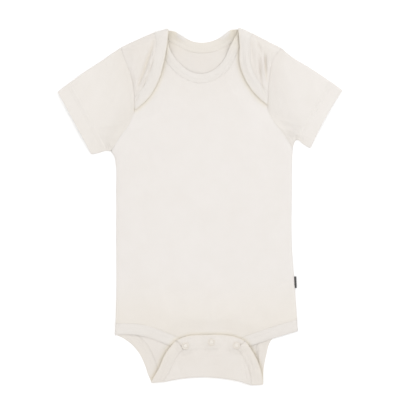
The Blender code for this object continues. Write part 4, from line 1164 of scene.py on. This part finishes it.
SLEEVE_TOP = (
    Station(-89.3, 179.3, 92.0, 178.4),
    Station(-109.7, 165.1, 107.5, 166.0),
    Station(-127.7, 153.4, 121.0, 158.0),
    Station(-160.4, 129.0, 160.4, 131.0),
)
CUFF = (
    Station(-160.4, 129.0, 160.4, 131.0),
    Station(-142.0, 96.0, 139.5, 97.0),
    Station(-122.8, 59.2, 124.2, 65.8),
)
SLEEVE_CREASES = (
    Crease(0.7, 6.0, ((-88.0, 160.0), (-100.0, 146.0), (-106.0, 128.0))),
    Crease(0.6, 5.0, ((-82.0, 132.0), (-94.0, 122.0), (-104.0, 108.0))),
    Crease(-0.45, 4.0, ((-86.0, 146.0), (-96.0, 134.0), (-104.0, 118.0))),
    Crease(0.5, 3.5, ((-84.0, 100.0), (-98.0, 92.0), (-112.0, 90.0))),
    Crease(0.5, 3.0, ((-96.0, 76.0), (-104.0, 80.0), (-114.0, 80.0))),
    Crease(-0.4, 3.0, ((-92.0, 86.0), (-104.0, 86.0), (-114.0, 85.0))),
    Crease(0.5, 6.0, ((-120.0, 148.0), (-130.0, 130.0), (-134.0, 108.0))),
    Crease(-3.0, 1.1, ((-109.8, 63.2), (-106.2, 66.0), (-101.6, 69.8))),
    Crease(0.7, 1.5, ((-99.6, 70.4), (-102.6, 66.6), (-106.5, 63.6))),
    Crease(0.5, 1.8, ((-117.0, 82.0), (-119.5, 74.0), (-120.5, 65.0))),
    Crease(0.4, 1.6, ((-121.5, 84.0), (-123.5, 76.0), (-124.0, 68.0))),
    Crease(0.5, 2.2, ((-96.0, 176.0), (-104.0, 160.0), (-113.0, 150.0))),
    Crease(-0.4, 2.0, ((-92.0, 172.0), (-99.0, 157.0), (-106.0, 148.0))),
    Crease(0.35, 6.0, ((86.0, 160.0), (96.0, 148.0), (102.0, 130.0))),
    Crease(0.5, 3.4, ((83.0, 140.0), (92.0, 130.0), (98.0, 116.0))),
    Crease(0.6, 3.0, ((88.0, 100.0), (100.0, 94.0), (112.0, 92.0))),
    Crease(0.9, 2.9, ((94.0, 89.0), (106.0, 83.0), (117.0, 77.4))),
    Crease(-2.4, 1.2, ((107.0, 78.6), (112.0, 76.0), (117.5, 72.6))),
    Crease(-1.2, 1.8, ((98.5, 81.0), (102.8, 76.4), (106.4, 71.5))),
    Crease(0.5, 6.0, ((120.0, 150.0), (130.0, 132.0), (132.0, 110.0))),
)


def side_of_sleeve(at, side):
    """Adds the lines of one sleeve, each from the armhole outward or from below upward."""
    top = shifted(smooth_line(stations(SLEEVE_TOP, side)), at.turn * FOLD_INSET)
    under = shifted(at.under, -at.turn * SLEEVE_INSET)
    at.sleeve_top = after(top, SLEEVE_START)
    at.underarm = after(under, SLEEVE_START)
    at.sleeve_head = shifted(at.armhole, -at.turn * SEAM)[::-1]
    at.sleeve_head[0], at.sleeve_head[-1] = at.underarm[0], at.sleeve_top[0]
    at.cuff = smooth_line([at.underarm[-1], stations(CUFF, side)[1], at.sleeve_top[-1]])


for side_name, garment_side in both_sides:
    side_of_sleeve(garment_side, side_name)


def armhole_heights(side):
    """How high the garment lies along an armhole, evened out where the lap ends."""
    along = lengths(side.armhole)
    lap_end = measured(side.lap_edge[-1:], side.armhole)[1][0]
    height = np.where(along < lap_end, lap_bottom(side.armhole), front_bottom(side.armhole))
    near = np.exp(-((along[:, None] - along) / 3.5) ** 2)
    return near @ height / near.sum(1)


beside_armhole = {name: armhole_heights(side) for name, side in both_sides}


def sleeve_bottom(points):
    """Underside of the sleeve's upper ply."""
    points = points[:, :2]
    low = distance(points, *both("underarm"))
    high = distance(points, *both("sleeve_top", "armhole"))
    dome = SLEEVE_DOME.height * soft(low / SLEEVE_DOME.run) * soft(high / SLEEVE_DOME.run)
    lift = PLY_LIFT * (1.0 - np.exp(-low / 5.0))
    off_cuff = soft(distance(points, *both("cuff")) / 10.0)
    folds = creased(SLEEVE_CREASES, points) * off_cuff + 0.16 * uneven(points, 10.0, 5.0)
    folds += puckered(points, [left.armhole, right.armhole], 0.2, 6.0, 4.0)

    to_left_cuff, left_run = measured(points, divided(left.cuff, 59))
    to_right_cuff, right_run = measured(points, divided(right.cuff, 59))
    cuff_run = np.where(to_left_cuff < to_right_cuff, left_run, right_run)
    to_hem = np.minimum(to_left_cuff, to_right_cuff) - SLEEVE_HEM
    rope = HEM_ROPE.height * np.sin(2 * np.pi * cuff_run / HEM_ROPE.pitch)
    rope *= np.exp(-(to_hem / HEM_ROPE.reach) ** 2)
    own = JERSEY + GAP + lift + dome + (folds + rope) * soft(low / 4.5)
    own = np.maximum(own, JERSEY)

    on_left = points[:, 0] < 0
    to_left_seam, left_run = measured(points, left.armhole)
    to_right_seam, right_run = measured(points, right.armhole)
    to_seam = np.where(on_left, to_left_seam, to_right_seam)
    seam_run = np.where(on_left, left_run, right_run)
    beside = np.where(on_left,
                      np.interp(left_run, lengths(left.armhole), beside_armhole["left"]),
                      np.interp(right_run, lengths(right.armhole), beside_armhole["right"]))
    ridge = SEAM_RIDGE.height * np.exp(-((to_seam - SEAM_RIDGE.away) / SEAM_RIDGE.width) ** 2)
    ridge *= soft((95.0 - seam_run) / 30.0) * soft((seam_run - 10.0) / 26.0)
    held = np.exp(-(to_seam / 4.5) ** 2)
    return own * (1.0 - held) + beside * held + ridge


def hem_ply(to_cuff):
    """The hem is doubled up to its raw edge, and pressed in along its two rows of thread."""
    in_hem = soft((SLEEVE_HEM + HEM_STEP / 2 - to_cuff) / HEM_STEP)
    grooves = sum(HEM_GROOVE.depth * np.exp(-((to_cuff - needle) / HEM_GROOVE.width) ** 2)
                  for needle in HEM_NEEDLES)
    return PLY + (HEM_PLIES - PLY) * in_hem - grooves


def hem_point(edge, cuff, inset):
    """How far along a sleeve's edge it is a set distance from the cuff."""
    inward = edge[::-1]
    run = np.interp(inset, distance(inward, cuff), lengths(inward))
    return lengths(edge)[-1] - run


def hem_line(side, inset, columns):
    """A line across a sleeve, a set distance from its cuff."""
    share = np.linspace(0.0, 1.0, columns + 1)[:, None]
    cuff = divided(side.cuff, columns)
    bow = cuff - cuff[0] - share * (cuff[-1] - cuff[0])
    start = at_lengths(side.underarm, [hem_point(side.underarm, side.cuff, inset)])
    end = at_lengths(side.sleeve_top, [hem_point(side.sleeve_top, side.cuff, inset)])
    return start + share * (end - start) + bow


def sew_sleeve(name, side, material, columns=46):
    """Rings of points round the arm, closer together where the hem is sewn."""
    share = np.linspace(0.0, 1.0, columns + 1)[:, None]
    head, hem = divided(side.sleeve_head, columns), hem_line(side, HEM_RINGS[0], columns)
    top_run = hem_point(side.sleeve_top, side.cuff, HEM_RINGS[0])
    under_run = hem_point(side.underarm, side.cuff, HEM_RINGS[0])
    body = np.concatenate([[0.0, 0.7, 1.9], np.linspace(3.6, top_run - 1.0, 28)]) / top_run
    plans = []
    for out in body:
        top = at_lengths(side.sleeve_top, [out * top_run])
        under = at_lengths(side.underarm, [out * under_run])
        corners = (1 - out) * ((1 - share) * head[0] + share * head[-1])
        corners = corners + out * ((1 - share) * hem[0] + share * hem[-1])
        plans.append((1 - out) * head + out * hem + (1 - share) * under + share * top - corners)
    plans += [hem_line(side, inset, columns) for inset in HEM_RINGS]
    top_out = -side.turn * side_normals(np.array([plan[-1] for plan in plans]))
    under_out = side.turn * side_normals(np.array([plan[0] for plan in plans]))
    travel = lengths(np.array([plan[columns // 2] for plan in plans]))
    # The sleeve's colour is painted warmer all over, and darker beside the armhole, as painted
    # shade.
    cloth = Cloth("sleeve_cloth_" + name, ALL_UNDER, SLEEVE_SHADE[name],
                  painted_light_and_shade=PaintedLightAndShade(-0.6, [side.armhole[::3]], 16.0))
    rings, plies, knits = [], [], []
    for ring, plan in enumerate(plans):
        ply = hem_ply(distance(plan, side.cuff[::3]))
        ply -= (SEAM_DIP * (1.0 - soft(distance(plan, side.sleeve_head[::3]) / SEAM_DIP_RUN))
                * soft(distance(plan, side.welded_armhole) / WELD_RUN))
        low, high = ply / 2, sleeve_bottom(plan) + ply / 2
        over = np.vstack(turned(plan[-1:], top_out[ring:ring + 1], low[-1:], high[-1:])[0])
        back = np.vstack(turned(plan[:1], under_out[ring:ring + 1], low[:1], high[:1])[0])[::-1]
        loop = np.vstack([np.column_stack([plan, low]), over[1:-1],
                          np.column_stack([plan, high])[::-1], back[1:]])
        rings.append(loop)
        plies.append(np.concatenate([ply, np.full(len(over) - 2, ply[-1]), ply[::-1],
                                     np.full(len(back) - 1, ply[0])]))
        knits.append(np.column_stack([lengths(loop), np.full(len(loop), travel[ring])]))
    cloth.rows(rings, np.array(plies), np.array(knits))
    return cloth.wall(material)


def stitch_tree():
    """Geometry nodes that lay a row of sewing thread along each line of a mesh."""
    tree = bpy.data.node_groups.new("thread_row", "GeometryNodeTree")
    face = tree.interface
    face.new_socket(name="Lines", in_out="INPUT", socket_type="NodeSocketGeometry")
    for name in ("Pitch", "Stitch length", "Thread radius"):
        socket = face.new_socket(name=name, in_out="INPUT", socket_type="NodeSocketFloat")
        socket.subtype = "DISTANCE"
    face.new_socket(name="Thread", in_out="INPUT", socket_type="NodeSocketMaterial")
    face.new_socket(name="Stitches", in_out="OUTPUT", socket_type="NodeSocketGeometry")
    node, link = tree.nodes.new, tree.links.new
    given, result = node("NodeGroupInput"), node("NodeGroupOutput")
    curve, resample = node("GeometryNodeMeshToCurve"), node("GeometryNodeResampleCurve")
    resample.mode = "LENGTH"
    link(given.outputs["Lines"], curve.inputs["Mesh"])
    link(curve.outputs["Curve"], resample.inputs["Curve"])
    link(given.outputs["Pitch"], resample.inputs["Length"])
    bead, size = node("GeometryNodeMeshUVSphere"), node("ShaderNodeCombineXYZ")
    bead.inputs["Segments"].default_value = 6
    bead.inputs["Rings"].default_value = 5
    bead.inputs["Radius"].default_value = 1.0
    halved = node("ShaderNodeMath")
    halved.operation = "MULTIPLY"
    halved.inputs[1].default_value = 0.5
    link(given.outputs["Stitch length"], halved.inputs[0])
    link(halved.outputs[0], size.inputs["X"])
    link(given.outputs["Thread radius"], size.inputs["Y"])
    link(given.outputs["Thread radius"], size.inputs["Z"])
    shaped, rounded = node("GeometryNodeTransform"), node("GeometryNodeSetShadeSmooth")
    link(bead.outputs["Mesh"], shaped.inputs["Geometry"])
    link(size.outputs["Vector"], shaped.inputs["Scale"])
    link(shaped.outputs["Geometry"], rounded.inputs["Geometry"])
    tangent, turn = node("GeometryNodeInputTangent"), node("FunctionNodeAlignRotationToVector")
    turn.axis = "X"
    link(tangent.outputs["Tangent"], turn.inputs["Vector"])
    laid, real = node("GeometryNodeInstanceOnPoints"), node("GeometryNodeRealizeInstances")
    link(resample.outputs["Curve"], laid.inputs["Points"])
    link(rounded.outputs["Geometry"], laid.inputs["Instance"])
    link(turn.outputs["Rotation"], laid.inputs["Rotation"])
    link(laid.outputs["Instances"], real.inputs["Geometry"])
    dyed = node("GeometryNodeSetMaterial")
    link(real.outputs["Geometry"], dyed.inputs["Geometry"])
    link(given.outputs["Thread"], dyed.inputs["Material"])
    link(dyed.outputs["Geometry"], result.inputs["Stitches"])
    return tree


thread_row = stitch_tree()


def sewn_thread(name, lines, thread, pitch=3.0, length=2.5, radius=0.2):
    """Rows of thread along lines in space, as one plain mesh that rides on the garment."""
    guide = bmesh.new()
    for line in lines:
        verts = [guide.verts.new(point) for point in np.asarray(line) / 1000.0]
        for pair in zip(verts, verts[1:]):
            guide.edges.new(pair)
    mesh = bpy.data.meshes.new(name + "_guide")
    guide.to_mesh(mesh)
    guide.free()
    carrier = add_object(name + "_guide", mesh)
    rows = carrier.modifiers.new("thread", "NODES")
    rows.node_group = thread_row
    values = {"Pitch": pitch / 1000.0, "Stitch length": length / 1000.0,
              "Thread radius": radius / 1000.0, "Thread": thread}
    for item in thread_row.interface.items_tree:
        if item.in_out == "INPUT" and item.name in values:
            rows[item.identifier] = values[item.name]
    shown = carrier.evaluated_get(bpy.context.evaluated_depsgraph_get())
    plain = bpy.data.meshes.new_from_object(shown)
    plain.name = name
    bpy.data.objects.remove(carrier)
    piece = add_object(name, plain)
    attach(piece, "root")
    return piece


def twisted_thread(name, colour):
    """Spun polyester thread: fine diagonal twist and a slight gloss."""
    material, shader = new_material(name, colour, 0.6)
    shader.inputs["Sheen Weight"].default_value = 0.15
    tree = material.node_tree
    place, twist = tree.nodes.new("ShaderNodeTexCoord"), tree.nodes.new("ShaderNodeTexWave")
    twist.bands_direction = "DIAGONAL"
    twist.inputs["Scale"].default_value = 1400.0
    twist.inputs["Distortion"].default_value = 1.5
    bump = tree.nodes.new("ShaderNodeBump")
    bump.inputs["Strength"].default_value = 0.4
    bump.inputs["Distance"].default_value = 0.00005
    tree.links.new(place.outputs["Object"], twist.inputs["Vector"])
    tree.links.new(twist.outputs["Fac"], bump.inputs["Height"])
    tree.links.new(bump.outputs["Normal"], shader.inputs["Normal"])
    return material


cream_thread = twisted_thread("cream_thread", (0.72, 0.69, 0.66))
hem_lines = []
for side_name, garment_side in both_sides:
    sleeve = sew_sleeve(side_name, garment_side, cream_jersey)
    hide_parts("sleeve_" + side_name)
    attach(sleeve, "root")
    for needle in HEM_NEEDLES:
        path = trimmed(hem_line(garment_side, needle, 70), 1.2)
        height = sleeve_bottom(path) + hem_ply(distance(path, garment_side.cuff[::3]))
        hem_lines.append(np.column_stack([path, height + 0.02]))
sewn_thread("sleeve_hem_thread", hem_lines, cream_thread)

# ---------------------------------------------------------------- neck bindings
# A strip of fine rib is folded round each neck edge and held by two rows of thread. The back
# one runs along both laps and round the back neck, and the front one goes under the laps.

BINDING_PROFILE = (         # share of the width from the folded edge to the seam, and thickness
    (0.0, 0.6), (0.03, 0.84), (0.07, 1.04), (0.13, 1.24), (0.22, 1.4), (0.34, 1.46), (0.46, 1.45),
    (0.54, 1.4), (0.58, 1.3), (0.61, 1.24), (0.64, 1.3), (0.68, 1.38), (0.76, 1.4), (0.82, 1.34),
    (0.86, 1.24), (0.89, 1.16), (0.92, 1.2), (0.96, 1.06), (1.0, 0.84),
)
BINDING_PRESS = 0.8        # share of that thickness which is left once the binding is pressed
BINDING_NEEDLES = (0.61, 0.89)             # where the two rows of thread are
BINDING_STEP = 1.6         # how far apart the rows of points across a binding are
THREAD_SHORT = SimpleNamespace(back=12.0, front=26.0)  # how far from the neck's ends thread stops
RIB_GAUGE = (0.00085, 0.00055)             # metres that a column and a row of stitches take
RIB_RELIEF = 0.6
NECK_CUP = SimpleNamespace(height=3.0, width=4.5, away=15.5, reach=8.0, left_share=0.88)

profile_shares, profile_plies = np.array(BINDING_PROFILE).T * ((1.0,), (BINDING_PRESS,))


def sew_strip(cloth, edge, seam, bottom, start=0.0, way=1.0, step=BINDING_STEP, creases=()):
    """A flat run of binding. Its knit starts at a run along the strip, and goes on either way."""
    count = round(lengths(edge)[-1] / step)
    near, far = divided(edge, count), divided(seam, count)
    travel = start + way * lengths((near + far) / 2)
    rows, plies, knits = [], [], []
    for inner, outer, along in zip(near, far, travel):
        plan = inner + profile_shares[:, None] * (outer - inner)
        ply = profile_plies + creased(creases, plan)
        rows.append(np.column_stack([plan, bottom(plan) + ply / 2]))
        plies.append(ply)
        knits.append(np.column_stack([np.full(len(plan), along),
                                      profile_shares * np.linalg.norm(outer - inner)]))
    cloth.rows(rows, np.array(plies), np.array(knits), SEWN_RIM)
    return travel[-1]


def sew_fold(cloth, start, end, outward, bottom, run, way=1.0):
    """Turns a binding over a fold, from the lower ply to the upper one."""
    line = start + profile_shares[:, None] * (end - start)
    rows, arcs = turned(line, np.tile(outward, (len(line), 1)), profile_plies / 2,
                        bottom(line) + profile_plies / 2)
    across = profile_shares * np.linalg.norm(end - start)
    travel = run + way * arcs.mean(1)
    cloth.rows(rows, profile_plies, np.array([np.column_stack([np.full(len(line), along), across])
                                              for along in travel]))
    return travel[-1]


def needle_line(edge, seam, bottom, share, skip=1.5):
    """Where a row of thread lies on a binding, at a share of its width."""
    count = round(lengths(edge)[-1] / BINDING_STEP)
    path = divided(edge, count) * (1 - share) + divided(seam, count) * share
    path = trimmed(path, skip)
    thickness = np.interp(share, profile_shares, profile_plies)
    return np.column_stack([path, bottom(path) + thickness + 0.03])


def front_neck_bottom(points):
    """The front neck binding lies as the front does, a little wavy."""
    return front_bottom(points) + 0.1 * uneven(points, 5.0, 2.0)


def back_neck_bottom(points):
    """The back neck binding rests on the table, and cups up toward the two neck points."""
    held = distance(points, *both("fold"))
    rim = np.exp(-(distance(points, back_neck_edge[::3]) / NECK_CUP.width) ** 2)
    reach = np.where(points[:, 0] < 0, NECK_CUP.left_share, 1.0) * NECK_CUP.reach
    return (NECK_CUP.height * rim * soft(held / 7.0)
            * np.exp(-((from_neck_points(points) - NECK_CUP.away) / reach) ** 2))


cream_rib = knit_cloth("cream_rib", (0.715, 0.684, 0.652), (0.682, 0.646, 0.604),
                       *RIB_GAUGE, RIB_RELIEF)

neck_front = Cloth("neck_rib_front", ALL_UNDER)
sew_strip(neck_front, front_neck_edge, front_neck_seam, front_neck_bottom)
neck_front_rib = neck_front.wall(cream_rib)
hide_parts("neck_binding_front")
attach(neck_front_rib, "root")

# Painted shade: the back neck rib's colour is painted warmer where it lies low round the neck.
neck_back = Cloth("neck_rib_back", least=0.35)
neck_run = sew_strip(neck_back, back_neck_edge, back_neck_seam, back_neck_bottom)
neck_lines = [needle_line(back_neck_edge, back_neck_seam, back_neck_bottom, share,
                          THREAD_SHORT.back) for share in BINDING_NEEDLES]
for side_name, garment_side in both_sides:
    outward = fold_outward(garment_side, garment_side.fold)[0]
    run, way = (0.0, -1.0) if side_name == "left" else (neck_run, 1.0)
    run = sew_fold(neck_back, garment_side.neck_point, garment_side.lap_seam_start, outward,
                   lap_bottom, run, way)
    sew_strip(neck_back, garment_side.lap_edge, garment_side.lap_seam, lap_bottom, run, way)
    neck_lines += [needle_line(garment_side.lap_edge, garment_side.lap_seam, lap_bottom, share)
                   for share in BINDING_NEEDLES]
neck_back_rib = neck_back.wall(cream_rib)
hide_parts("neck_binding_back")
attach(neck_back_rib, "root")
neck_lines += [needle_line(front_neck_edge, front_neck_seam, front_neck_bottom, share,
                           THREAD_SHORT.front) for share in BINDING_NEEDLES]
sewn_thread("neck_thread", neck_lines, cream_thread)

# ---------------------------------------------------------------- leg bindings
# The same fine rib binds the leg edges: one strip down each back leg, over the crotch fold and
# up the side of the flap, and one along each front leg edge. Two rows of thread hold each strip,
# and two more the doubled top of the flap.

LEG_CREASES = (
    Crease(1.5, 1.9, ((68.6, -154.5), (67.4, -161.0), (67.2, -169.0), (68.0, -179.0))),
)
FLAP_STEP = 1.1            # the rows of points are closer together on the flap
PLACKET_ROWS = SimpleNamespace(lower=(-26.0, 50.5), upper=(-13.0, 37.5), step=1.6)

# A darker, warmer copy of the cream rib for the back leg bindings: partly the cloth's inner face,
# partly painted shade.
inner_and_shaded_rib = knit_cloth("inner_and_shaded_rib", (0.709, 0.670, 0.628), (0.675, 0.632, 0.580),
                       *RIB_GAUGE, RIB_RELIEF)
leg_lines = []
for side_name, garment_side in both_sides:
    strip = Cloth("leg_rib_back_" + side_name)
    run = sew_strip(strip, garment_side.back_leg, garment_side.back_leg_seam, flat,
                    creases=LEG_CREASES)
    run = sew_fold(strip, garment_side.crotch[0], garment_side.back_leg_seam[-1], (0.0, -1.0),
                   flap_bottom, run)
    sew_strip(strip, garment_side.flap_edge, garment_side.flap_seam, flap_bottom, run,
              step=FLAP_STEP)
    leg_rib = strip.wall(inner_and_shaded_rib)
    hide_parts("leg_binding_back_" + side_name)
    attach(leg_rib, "root")
    strip = Cloth("leg_rib_front_" + side_name, ALL_UNDER)
    sew_strip(strip, garment_side.front_hem, garment_side.front_leg_seam, front_bottom)
    leg_rib = strip.wall(cream_rib)
    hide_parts("leg_binding_front_" + side_name)
    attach(leg_rib, "root")
    for share in BINDING_NEEDLES:
        leg_lines += [
            needle_line(garment_side.back_leg, garment_side.back_leg_seam, flat, share),
            needle_line(garment_side.flap_edge, garment_side.flap_seam, flap_bottom, share),
            needle_line(garment_side.front_hem, garment_side.front_leg_seam, front_bottom, share)]
lower = np.arange(*PLACKET_ROWS.lower, PLACKET_ROWS.step)
upper = np.arange(*PLACKET_ROWS.upper, PLACKET_ROWS.step)
flap_top = np.interp(upper, flap_top_edge[:, 0], flap_top_edge[:, 1])
for path in (np.column_stack([lower, np.full(len(lower), PLACKET_LINE + PLACKET_HEM)]),
             np.column_stack([upper, flap_top - PLACKET_SEAM])):
    leg_lines.append(np.column_stack([path, flap_bottom(path) + placket_ply(path) + 0.1]))
sewn_thread("leg_thread", leg_lines, cream_thread)

# ---------------------------------------------------------------- snaps
# Three ring snaps of enamelled brass are riveted through the cloth to close the crotch. A cream
# ring shows on the flap round a small button of cloth, both a little sunk into it, and the
# socket and stud of each are hidden under the flap.

RING = SimpleNamespace(radius=3.35, width=0.85, height=0.55, sides=40, turns=12, sunk=0.1)
BUTTON = SimpleNamespace(radius=2.6, height=1.35, foot=0.3, rings=6, sunk=0.05)


def enamel(name, colour, roughness):
    """Baked enamel on brass, with a faint orange-peel surface."""
    material, shader = new_material(name, colour, roughness)
    shader.inputs["Coat Weight"].default_value = 0.35
    shader.inputs["Coat Roughness"].default_value = 0.2
    tree = material.node_tree
    place, grain = tree.nodes.new("ShaderNodeTexCoord"), tree.nodes.new("ShaderNodeTexNoise")
    grain.inputs["Scale"].default_value = 1500.0
    bump = tree.nodes.new("ShaderNodeBump")
    bump.inputs["Strength"].default_value = 0.12
    bump.inputs["Distance"].default_value = 0.00005
    tree.links.new(place.outputs["Object"], grain.inputs["Vector"])
    tree.links.new(grain.outputs["Fac"], bump.inputs["Height"])
    tree.links.new(bump.outputs["Normal"], shader.inputs["Normal"])
    return material


def snap_ring(snap, foot):
    """A rounded ring of enamelled brass that lies on the flap."""
    solid = bmesh.new()
    profile = []
    for turn in np.linspace(0.0, 2 * math.pi, RING.turns, endpoint=False):
        profile.append((snap.x + RING.radius + RING.width * math.cos(turn), snap.y,
                        foot + RING.height + RING.height * math.sin(turn)))
    verts = [solid.verts.new(point) for point in profile]
    edges = [solid.edges.new(pair) for pair in zip(verts, verts[1:] + verts[:1])]
    bmesh.ops.spin(solid, geom=verts + edges, cent=(snap.x, snap.y, 0.0), axis=(0.0, 0.0, 1.0),
                   angle=2 * math.pi, steps=RING.sides, use_merge=True)
    bmesh.ops.remove_doubles(solid, verts=solid.verts, dist=0.001)
    bmesh.ops.recalc_face_normals(solid, faces=solid.faces)
    return solid


def snap_button(snap, foot):
    """The button of cloth inside the ring, a low dome on a flat foot."""
    solid = bmesh.new()
    rows = []
    for angle in np.linspace(-0.35, math.pi / 2 - 0.12, BUTTON.rings):
        radius = BUTTON.radius * math.cos(angle) ** 0.6
        height = foot + BUTTON.foot + (BUTTON.height - BUTTON.foot) * math.sin(angle)
        rows.append([solid.verts.new((snap.x + radius * math.cos(turn),
                                      snap.y + radius * math.sin(turn), height))
                     for turn in np.linspace(0.0, 2 * math.pi, RING.sides, endpoint=False)])
    for lower, upper in zip(rows, rows[1:]):
        for a in range(RING.sides):
            b = (a + 1) % RING.sides
            solid.faces.new((lower[a], lower[b], upper[b], upper[a]))
    solid.faces.new(rows[0][::-1])
    solid.faces.new(rows[-1])
    bmesh.ops.recalc_face_normals(solid, faces=solid.faces)
    knit = solid.loops.layers.uv.new("knit")
    for face in solid.faces:
        for loop in face.loops:
            loop[knit].uv = loop.vert.co.xy / 1000.0
    return solid


ring_enamel = enamel("cream_enamel", (0.67, 0.622, 0.56), 0.3)
button_cloth = knit_cloth("button_cloth", (0.733, 0.695, 0.647), (0.705, 0.663, 0.608),
                          *JERSEY_GAUGE, 0.4)
hidden_metal = enamel("snap_metal", (0.60, 0.58, 0.55), 0.35)
for number, snap in enumerate(SNAPS, 1):
    spot = np.array([[snap.x, snap.y]])
    top = flap_bottom(spot)[0] + PLACKET_PLIES
    ring = made_of(f"snap_ring_{number}", snap_ring(snap, top - RING.sunk), ring_enamel)
    button = made_of(f"snap_button_{number}", snap_button(snap, top - BUTTON.sunk), button_cloth)
    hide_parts(f"snap_cap_{number}")
    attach(ring, "root")
    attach(button, "root")
    for half in ("socket", "stud"):
        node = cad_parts[f"snap_{half}_{number}"]
        for slot in node.material_slots:
            slot.material = hidden_metal

# ---------------------------------------------------------------- side tab
# A small tape of black woven polyester is folded in half, and both its ends are caught in the
# side seam near the hip.

TAB = SimpleNamespace(x=106.1, y=-84.9, out=2.5, height=12.9, thick=1.0, lift=0.6, lean=0.5)


def woven_tape(name, colour):
    """Black satin-weave tape: fine crossing threads with a low gloss."""
    material, shader = new_material(name, colour, 0.55)
    shader.inputs["Sheen Weight"].default_value = 0.3
    tree = material.node_tree
    place = tree.nodes.new("ShaderNodeTexCoord")
    bump = tree.nodes.new("ShaderNodeBump")
    bump.inputs["Strength"].default_value = 0.5
    bump.inputs["Distance"].default_value = 0.00008
    weave = []
    for direction, scale in (("X", 420.0), ("Y", 300.0)):
        wave = tree.nodes.new("ShaderNodeTexWave")
        wave.bands_direction = direction
        wave.inputs["Scale"].default_value = scale
        tree.links.new(place.outputs["Object"], wave.inputs["Vector"])
        weave.append(wave.outputs["Fac"])
    crossed = tree.nodes.new("ShaderNodeMath")
    crossed.operation = "MULTIPLY"
    tree.links.new(weave[0], crossed.inputs[0])
    tree.links.new(weave[1], crossed.inputs[1])
    tree.links.new(crossed.outputs[0], bump.inputs["Height"])
    tree.links.new(bump.outputs["Normal"], shader.inputs["Normal"])
    return material


def fold_tape():
    """The tape's doubled cross-section, drawn along the seam."""
    solid = bmesh.new()
    outline = []
    for turn in np.linspace(-math.pi / 2, math.pi / 2, 9):
        outline.append((TAB.out - TAB.thick / 2 + TAB.thick / 2 * math.cos(turn),
                        TAB.thick / 2 + TAB.thick / 2 * math.sin(turn)))
    outline = [(0.0, 0.05)] + outline + [(0.0, TAB.thick - 0.05), (0.3, TAB.thick / 2)]
    rows = []
    for share in np.linspace(-0.5, 0.5, 23):
        ruffle = 0.06 * math.sin(40.0 * share) - TAB.lean * share
        rows.append([solid.verts.new((TAB.x + x + ruffle, TAB.y + TAB.height * share,
                                      TAB.lift + z)) for x, z in outline])
    for lower, upper in zip(rows, rows[1:]):
        for a in range(len(outline)):
            b = (a + 1) % len(outline)
            solid.faces.new((lower[a], lower[b], upper[b], upper[a]))
    solid.faces.new(rows[0][::-1])
    solid.faces.new(rows[-1])
    bmesh.ops.recalc_face_normals(solid, faces=solid.faces)
    return solid


tape = made_of("side_tape", fold_tape(), woven_tape("black_tape", (0.045, 0.043, 0.042)))
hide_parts("side_label")
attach(tape, "root")
